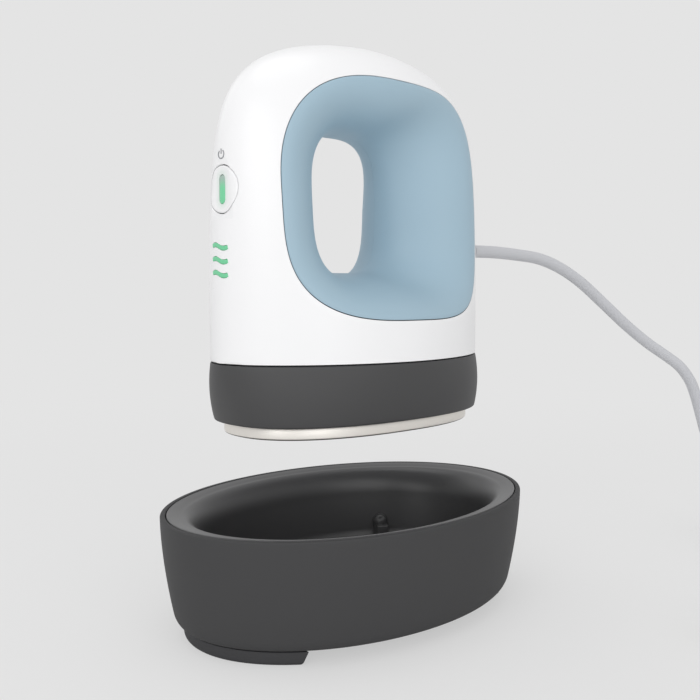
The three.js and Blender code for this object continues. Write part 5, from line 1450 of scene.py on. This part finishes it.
def capsule(width, height, z, steps=14):
    """A rounded upright bar's outline, as (y, z)."""
    radius = width / 2
    straight = height / 2 - radius
    outline = []
    for k in range(2 * steps + 2):
        upper = k <= steps
        angle = math.pi * (k if upper else k - 1) / steps
        rise = (straight if upper else -straight) + radius * math.sin(angle)
        outline.append((radius * math.cos(angle), z + rise))
    return outline


class HEAT_PRESS_OT_button(bpy.types.Operator):
    """The round button with the lit bar in its face"""

    bl_idname = "heat_press.button"
    bl_label = "Button"
    bl_options = {"REGISTER", "UNDO"}

    def execute(self, context):
        size = context.scene.heat_press_sizes
        colours = context.scene.heat_press_colours
        flat_x = size.nose_flat - size.half_length
        z = button_z
        radius, flange, stem = size.button_radius, 7.1 * MM, 2.2 * MM
        flange_x, inner_x = -39.6 * MM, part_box("power_button")[1].x
        rows = [(radius * k / 10, 0.2 * MM * (1 - (k / 9) ** 4), True) for k in range(10)]
        rim = ((0.25, 0), (0.07, 0.07), (0, 0.25))
        rows += [(radius - inset * MM, drop * MM, True) for inset, drop in rim]
        rows += [(radius, flange_x - MM, False), (flange, flange_x - MM, False), (flange, flange_x, False)]
        rows += [(stem, flange_x, False), (stem, inner_x, False), (0, inner_x, False)]
        sides = 96
        points = []
        for reach, along, on_nose in rows:
            for k in range(sides):
                y, up = reach * math.cos(TURN * k / sides), z + reach * math.sin(TURN * k / sides)
                front = max(nose_x(size, y, up), flat_x) if on_nose else 0
                points.append((front + along, y, up))
        button = closed(mesh_object("round_button", points, ring_faces(len(rows), sides)))
        outline = capsule(size.bar_width + 0.36 * MM, size.bar_length + 0.36 * MM, z)
        pocket = prism("pocket", outline, flat_x - 5 * MM, flat_x + 3.1 * MM, along_x)
        middle = (flat_x, 0, z)
        white = button_finish(colours, size, middle)
        piece(cut(button, pocket), white, "button", ["power_button"], 26)
        outline = capsule(size.bar_width, size.bar_length, z)
        bar = prism("lit_bar", outline, flat_x + 0.1 * MM, flat_x + 2.6 * MM, along_x)
        bar = bevelled(bar, 0.3 * MM, 4)
        piece(bar, bar_finish(colours, size, middle), "button", ["light_bar"])
        return {"FINISHED"}


class HEAT_PRESS_OT_waves(bpy.types.Operator):
    """The three lit wave marks and the guide block behind the shell"""

    bl_idname = "heat_press.waves"
    bl_label = "Wave marks"
    bl_options = {"REGISTER", "UNDO"}

    def execute(self, context):
        size = context.scene.heat_press_sizes
        colours = context.scene.heat_press_colours
        parts = []
        depth = 3.4 * MM
        for z in wave_heights():
            line = wave_line(size)
            points = [(nose_x(size, y, z + rise) + depth / 2 - 0.04 * MM, y, z + rise) for y, rise in line]
            values = {"Width": size.wave_stroke, "Depth": depth, "Corner": 0.18 * MM}
            parts.append(grown("wave", points, strip_tree, values, line=True))
        low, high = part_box("wave_light_guide")
        block = box_object("block", (low.x + 3.1 * MM, low.y, low.z), (high.x, high.y, high.z))
        parts.append(bevelled(block, 0.3 * MM))
        waves = joined("wave_marks", parts)
        glow = {"Emission_Color": (*colours.green, 1), "Emission_Strength": 0.12}
        lit = plain("wave_green", colours.green, 2400, 0.35, 0.01 * MM, 0.1, **glow)
        piece(waves, lit, "press", ["wave_light_guide"])
        return {"FINISHED"}


# Strain relief and screws

class HEAT_PRESS_OT_relief(bpy.types.Operator):
    """The ribbed rubber sleeve where the cord leaves the press"""

    bl_idname = "heat_press.relief"
    bl_label = "Strain relief"
    bl_options = {"REGISTER", "UNDO"}

    def execute(self, context):
        colours = context.scene.heat_press_colours
        cord = context.scene.heat_press_cord
        bore = cord.radius + 0.08 * MM
        neck, flange, body = 3.3 * MM, 6 * MM, 4.6 * MM
        flange_x, flange_end, collar_x = 40.6 * MM, 41.8 * MM, 47.4 * MM
        profile = [(bore, relief_low.x), (neck, relief_low.x), (neck, flange_x), (flange, flange_x)]
        profile += [(flange, flange_end), (body, flange_end), (body, collar_x)]
        collar = ((5, 0), (5.2, 0.25), (5.2, 1.1), (4.9, 1.4))
        profile += [(radius * MM, collar_x + along * MM) for radius, along in collar]
        ribs, groove = 5, 0.45 * MM
        first, last = 3.8 * MM, 2.9 * MM
        taper_x = collar_x + 1.4 * MM
        run = (relief_high.x - taper_x) / ribs
        for k in range(ribs):
            radius = first + (last - first) * k / (ribs - 1)
            rib = ((radius - groove, 0), (radius - groove, 0.35), (radius, 0.45), (radius, 0.9))
            profile += [(reach, taper_x + run * (k + share)) for reach, share in rib]
        profile += [(2.7 * MM, relief_high.x), (bore, relief_high.x), (bore, relief_low.x)]
        sleeve = lathed("cord_sleeve", profile, (0, 0, relief_z), (1, 0, 0), 48)
        rubber = plain("sleeve_grey", colours.cord, 2200, 0.5, 0.03 * MM, 0.05)
        piece(sleeve, rubber, "press", ["cord_strain_relief"])
        return {"FINISHED"}


SCREW_HEAD = 1.7 * MM


def screw_templates():
    """A pan head with a cross recess, and a threaded shank one millimetre long."""
    radius, under, rim, dome = 2.5 * MM, -0.02 * MM, 0.6 * MM, 1.1 * MM
    profile = [(0, under), (radius, under), (radius, rim)]
    profile += [(radius - 0.9 * MM * rest, rim + dome * sine) for sine, rest in quarter(5)[1:]]
    profile += [(0, SCREW_HEAD)]
    head = lathed("head", profile, (0, 0, 0), (0, 0, 1), 32)
    arm, half, recess, above = 1.2 * MM, 0.28 * MM, 0.7 * MM, 3 * MM
    arms = ((arm, half), (half, arm))
    cut(head, *[box_object("slot", (-x, -y, recess), (x, y, above)) for x, y in arms])
    core, crest, rings = 1.05 * MM, 1.3 * MM, 8
    thread = [(0, -MM)]
    for k in range(rings):
        z = -MM + MM * k / rings
        thread += [(core, z), (crest, z + 0.5 * MM / rings)]
    thread += [(core, 0), (0, 0)]
    shank = lathed("shank", thread, (0, 0, 0), (0, 0, 1), 20)
    return head, shank


class HEAT_PRESS_OT_screws(bpy.types.Operator):
    """Every screw, set by points on the seats of the CAD's screws"""

    bl_idname = "heat_press.screws"
    bl_label = "Screws"
    bl_options = {"REGISTER", "UNDO"}

    def execute(self, context):
        head, shank = screw_templates()
        large = [f"{part}_screw_{k}" for part in ("plate", "shell") for k in (1, 2, 3, 4)]
        small = [f"{part}_screw_{k}" for part in ("board", "clamp") for k in (1, 2)]
        sets = {"press": large + small, "base": ["base_screw_front", "base_screw_rear"]}
        steel = plain("screw_steel", rgb(176, 176, 178), 1600, 0.34, 0.02 * MM, 0.1, Metallic=1.0)
        for body, nodes in sets.items():
            seats, axes, shanks = [], [], []
            for node in nodes:
                low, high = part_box(node)
                x, y, z = (low + high) / 2
                if node.startswith("board"):
                    axis, tip, top = (1, 0, 0), low.x, high.x
                    seats.append((top - SCREW_HEAD, y, z))
                elif node.startswith("base"):
                    axis, tip, top = (0, 0, -1), -high.z, -low.z
                    seats.append((x, y, low.z + SCREW_HEAD))
                else:
                    axis, tip, top = (0, 0, 1), low.z, high.z
                    seats.append((x, y, top - SCREW_HEAD))
                axes += axis
                shanks.append((top - SCREW_HEAD - tip) / MM)
            attributes = [("axis", "FLOAT_VECTOR", axes), ("shank", "FLOAT", shanks)]
            templates = {"Head": head, "Shank": shank}
            screws = grown(f"screws_{body}", seats, screw_tree, templates, attributes)
            piece(screws, steel, body, nodes)
        for template in (head, shank):
            bpy.data.objects.remove(template)
        return {"FINISHED"}


# Base

def base_row(size, z, inset, fullness=2):
    """A ring of the base's outer form at a height."""
    rise = z - tray_low.z
    height = tray_high.z - tray_low.z
    narrow = size.taper * (1 - min(1, rise / height)) ** size.belly + inset
    corner = max(0, 1 - rise / size.corner)
    narrow += 0.6 * size.corner * (1 - math.sqrt(1 - corner * corner))
    return (size.half_length - narrow, size.half_width - narrow, fullness, z)


class HEAT_PRESS_OT_tray(bpy.types.Operator):
    """The base's outer shell"""

    bl_idname = "heat_press.tray"
    bl_label = "Base shell"
    bl_options = {"REGISTER", "UNDO"}

    def execute(self, context):
        size = context.scene.heat_press_base
        colours = context.scene.heat_press_colours
        low, rim = tray_low.z, tray_high.z
        floor = low + size.wall
        rows = [(0, 0, 2, low), base_row(size, low, 8 * MM)]
        rows += [base_row(size, low + size.corner * k / 8, 0) for k in range(9)]
        steps = 18
        edge = 0.45 * MM
        span = rim - edge - low - size.corner
        rows += [base_row(size, low + size.corner + span * k / steps, 0) for k in range(1, steps)]
        rows += [base_row(size, rim - edge * (1 - sine), edge * rest) for sine, rest in quarter(5)]
        inner = size.rim_wall
        small = 0.2 * MM
        rows += [base_row(size, rim, inner - small), base_row(size, rim - small, inner)]
        rows += [base_row(size, rim - 4 * MM * k, inner) for k in range(1, 7)]
        rows += [base_row(size, floor, inner), (0, 0, 2, floor)]
        tray = oval_piece("base_tray", rows, 224)
        matt = {"patch": 35, "Specular_IOR_Level": 0.35}
        charcoal = plain("tray_charcoal", colours.charcoal, 2800, 0.7, 0.025 * MM, 0.05, **matt)
        piece(tray, charcoal, "base", ["base_shell"])
        return {"FINISHED"}


def cavity_half(size, z):
    top = tray_high.z - size.lip_drop
    depth = max(0, (top - z) / (tray_high.z - tray_low.z - size.lip_drop))
    taper = size.cavity_taper * depth
    return size.half_length - size.lip_end - taper, size.half_width - size.lip_side - taper


class HEAT_PRESS_OT_liner(bpy.types.Operator):
    """The base's inner tray: a lip that rolls into the cavity, and the four rest posts"""

    bl_idname = "heat_press.liner"
    bl_label = "Base liner"
    bl_options = {"REGISTER", "UNDO"}

    def execute(self, context):
        size = context.scene.heat_press_base
        press = context.scene.heat_press_sizes
        colours = context.scene.heat_press_colours
        gap = press.gap
        rim = tray_high.z
        bottom = tray_low.z + size.wall + gap
        floor = bottom + size.liner_floor
        outset = size.rim_wall + 0.8 * gap
        rows = [(0, 0, 2, bottom), base_row(size, bottom, outset + 3 * MM)]
        steps = 8
        climb = rim - 0.35 * MM - bottom
        rows += [base_row(size, bottom + climb * k / steps, outset) for k in range(steps + 1)]
        rows += [base_row(size, rim - 0.1 * MM, outset + 0.1 * MM), base_row(size, rim, outset + 0.35 * MM)]
        shelf = rim - 0.6 * size.lip_drop
        rim_half = (size.half_length - outset, size.half_width - outset)
        edge_half = cavity_half(size, shelf - size.lip_round)

        def lip_row(across, z):
            return (*[half + (edge - half) * across for half, edge in zip(rim_half, edge_half)], 2, z)

        flat = 0.4
        slant = math.radians(80)
        for share in (0.2, 0.4, 0.6, 0.8, 1):
            rows.append(lip_row(flat * share, rim + (shelf - rim) * share ** 1.5))
        for k in range(1, 17):
            turned = slant * k / 16
            across = flat + (1 - flat) * math.sin(turned) / math.sin(slant)
            drop = size.lip_round * (1 - math.cos(turned)) / (1 - math.cos(slant))
            rows.append(lip_row(across, shelf - drop))
        wall_top = shelf - size.lip_round
        fillet = 3 * MM
        for k in range(1, 10):
            z = wall_top + (floor + fillet - wall_top) * k / 9
            rows.append((*cavity_half(size, z), 2, z))
        low_half = cavity_half(size, floor)
        for sine, rest in quarter(6)[1:]:
            inset = fillet * rest
            rows.append((low_half[0] - inset, low_half[1] - inset, 2, floor + fillet * (1 - sine)))
        rows += [(low_half[0] * 0.5, low_half[1] * 0.5, 2, floor), (0, 0, 2, floor)]
        parts = [oval_piece("tray", rows, 224)]
        parts += rest_posts(size, press, floor)
        liner = joined("base_inner_tray", parts)
        piece(liner, liner_finish(colours, shelf), "base", ["base_liner"])
        return {"FINISHED"}


def rest_posts(size, press, floor):
    """Four round-topped posts under the docked skirt's edge, each with a rib out to the cavity's wall."""
    parts = []
    radius, straight = size.post_radius, size.post_top - size.post_radius
    root, plinth = floor - 0.5 * MM, size.post_radius + 0.5 * MM
    profile = [(0, root), (plinth, root), (plinth, floor), (radius, floor + 0.8 * MM)]
    profile += [(radius * (1 - rest), straight + radius * sine) for sine, rest in quarter(8)]
    half_length = press.half_length - press.skirt_flare
    half_width = press.half_width - press.skirt_flare
    fullness = press.plate_fullness
    angle = math.radians(46)
    share_x, share_y = [value ** (2 / fullness) for value in (math.cos(angle), math.sin(angle))]
    clear = size.post_radius + press.gap
    shoulder = 14.8 * MM
    for sx in (-1, 1):
        for sy in (-1, 1):
            x, y = sx * half_length * share_x, sy * half_width * share_y
            out_x = sx * share_x ** (fullness - 1) / half_length
            out_y = sy * share_y ** (fullness - 1) / half_width
            turn = Matrix.Translation((x, y, 0)) @ Matrix.Rotation(math.atan2(out_y, out_x), 4, "Z")
            column = lathed("column", profile, (clear, 0, 0), (0, 0, 1), 40)
            reach = clear + radius
            while cavity_room(size, turn @ Vector((reach, 0, 0)), straight - MM) and reach < 14 * MM:
                reach += 0.25 * MM
            half = size.post_web / 2
            web = box_object("web", (clear, -half, root), (reach + 0.8 * MM, half, straight - MM))
            step = box_object("step", (-1.8 * MM, -half, root), (clear, half, shoulder))
            for part in (column, bevelled(web, 0.4 * MM, 3), bevelled(step, 0.4 * MM, 3)):
                part.data.transform(turn)
                parts.append(part)
    return parts


def cavity_room(size, point, z):
    half_length, half_width = cavity_half(size, z)
    return (point.x / half_length) ** 2 + (point.y / half_width) ** 2 < 1


class HEAT_PRESS_OT_feet(bpy.types.Operator):
    """The two feet, each the end of one oval pad, with a recess for its screw"""

    bl_idname = "heat_press.feet"
    bl_label = "Feet"
    bl_options = {"REGISTER", "UNDO"}

    def execute(self, context):
        size = context.scene.heat_press_base
        colours = context.scene.heat_press_colours
        half = (size.half_length - size.taper, size.half_width - size.taper)
        seat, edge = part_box("foot_front")[1].z, 1.4 * MM
        well_radius, well_top = 2.8 * MM, 2.3 * MM
        rubber = plain("foot_rubber", colours.rubber, 2400, 0.7, 0.05 * MM, 0.08, patch=40)
        for name, side in (("front", -1), ("rear", 1)):
            rows = [(0, 0, 2, 0)]
            for sine, rest in reversed(quarter(6)):
                inset = size.foot_inset + edge * rest
                rows.append((*[value - inset for value in half], 2, edge * (1 - sine)))
            rows += [(*[value - size.foot_inset + 0.4 * MM for value in half], 2, seat), (0, 0, 2, seat)]
            foot = oval_piece(f"rubber_foot_{name}", rows)
            cut_x, far_x, high_z = side * 39 * MM, -side * 80 * MM, 5 * MM
            lean = size.foot_lean
            corners = [(cut_x + side * lean, -MM), (far_x, -MM)]
            corners += [(far_x, high_z), (cut_x - side * lean, high_z)]
            away = prism("away", corners, -80 * MM, 80 * MM, lambda u, v, w: (u, w, v))
            screw_x = middle_of(f"base_screw_{name}")[0]
            profile = [(0, -MM), (well_radius, -MM), (well_radius, well_top), (0, well_top)]
            well = lathed("well", profile, (screw_x, 0, 0), (0, 0, 1), 40)
            cut(foot, away, well)
            piece(bevelled(foot, 0.2 * MM, 3, 50), rubber, "base", [f"foot_{name}"])
        return {"FINISHED"}


# CAD nodes that keep their own solids

class HEAT_PRESS_OT_inner(bpy.types.Operator):
    """Gives the inner CAD pieces, which keep their solids, their finishes"""

    bl_idname = "heat_press.inner"
    bl_label = "Inner parts"
    bl_options = {"REGISTER", "UNDO"}

    def execute(self, context):
        dark = rgb(40, 41, 44)
        fine = 0.02 * MM
        copper = plain("element_copper", rgb(186, 120, 84), 900, 0.45, 0.05 * MM, 0.2, Metallic=1.0)
        steel = plain("clamp_steel", rgb(180, 180, 182), 700, 0.4, 0.03 * MM, 0.12, Metallic=1.0)
        finishes = (
            (board_finish(), "control_board"),
            (copper, "heating_element"),
            (steel, "element_clamp_plate"),
            (plain("fuse_brass", rgb(200, 172, 104), 900, 0.35, fine, 0.1, Metallic=1.0), "thermal_fuse"),
            (
                plain("mica_sheet", rgb(201, 192, 162), 400, 0.7, 0.05 * MM, 0.25),
                "insulation_pad", "bar_led", "wave_led_1", "wave_led_2", "wave_led_3",
            ),
            (
                plain("inner_black", dark, 2200, 0.5, 0.03 * MM, 0.1),
                "temperature_sensor", "switch_body", "switch_plunger", "cord_clamp",
                "triac", "controller_chip",
            ),
            (plain("capacitor_blue", rgb(92, 140, 186), 1800, 0.4, fine, 0.08), "capacitor"),
            (plain("wire_white", rgb(232, 232, 228), 2200, 0.45, fine, 0.06), "sensor_wire"),
            (plain("wire_brown", rgb(122, 78, 52), 2200, 0.45, fine, 0.1), "mains_wire_1", "mains_wire_2"),
            (plain("wire_black", dark, 2200, 0.45, fine, 0.1), "heater_wire_1", "heater_wire_2"),
        )
        for material, *nodes in finishes:
            for node in nodes:
                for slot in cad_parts[node].material_slots:
                    slot.material = material
        return {"FINISHED"}


# Operators, panel and registration

OPERATORS = (
    HEAT_PRESS_OT_stage,
    HEAT_PRESS_OT_cord,
    HEAT_PRESS_OT_shell,
    HEAT_PRESS_OT_marks,
    HEAT_PRESS_OT_grips,
    HEAT_PRESS_OT_skirt,
    HEAT_PRESS_OT_plate,
    HEAT_PRESS_OT_button,
    HEAT_PRESS_OT_waves,
    HEAT_PRESS_OT_relief,
    HEAT_PRESS_OT_screws,
    HEAT_PRESS_OT_tray,
    HEAT_PRESS_OT_liner,
    HEAT_PRESS_OT_feet,
    HEAT_PRESS_OT_inner,
)


class HEAT_PRESS_PT_sidebar(bpy.types.Panel):
    """Lists the pieces and their sizes."""

    bl_idname = "HEAT_PRESS_PT_sidebar"
    bl_label = "Mini heat press"
    bl_space_type = "VIEW_3D"
    bl_region_type = "UI"
    bl_category = "Heat press"

    def draw(self, context):
        for made in OPERATORS:
            self.layout.operator(made.bl_idname)
        for name in GROUPS:
            group = getattr(context.scene, name)
            column = self.layout.column(heading=name.replace("_", " "))
            for title in group.__annotations__:
                column.prop(group, title)


GROUPS = {
    "heat_press_sizes": HeatPressSizes,
    "heat_press_base": HeatPressBaseSizes,
    "heat_press_cord": HeatPressCordSizes,
    "heat_press_colours": HeatPressColours,
}


def register():
    for name, group in GROUPS.items():
        bpy.utils.register_class(group)
        setattr(bpy.types.Scene, name, PointerProperty(type=group))
    for made in (*OPERATORS, HEAT_PRESS_PT_sidebar):
        bpy.utils.register_class(made)


def unregister():
    for made in (HEAT_PRESS_PT_sidebar, *reversed(OPERATORS)):
        bpy.utils.unregister_class(made)
    for name, group in GROUPS.items():
        delattr(bpy.types.Scene, name)
        bpy.utils.unregister_class(group)


def main():
    register()
    for made in OPERATORS:
        getattr(bpy.ops.heat_press, made.bl_idname.removeprefix("heat_press."))()


if __name__ == "__main__":
    main()
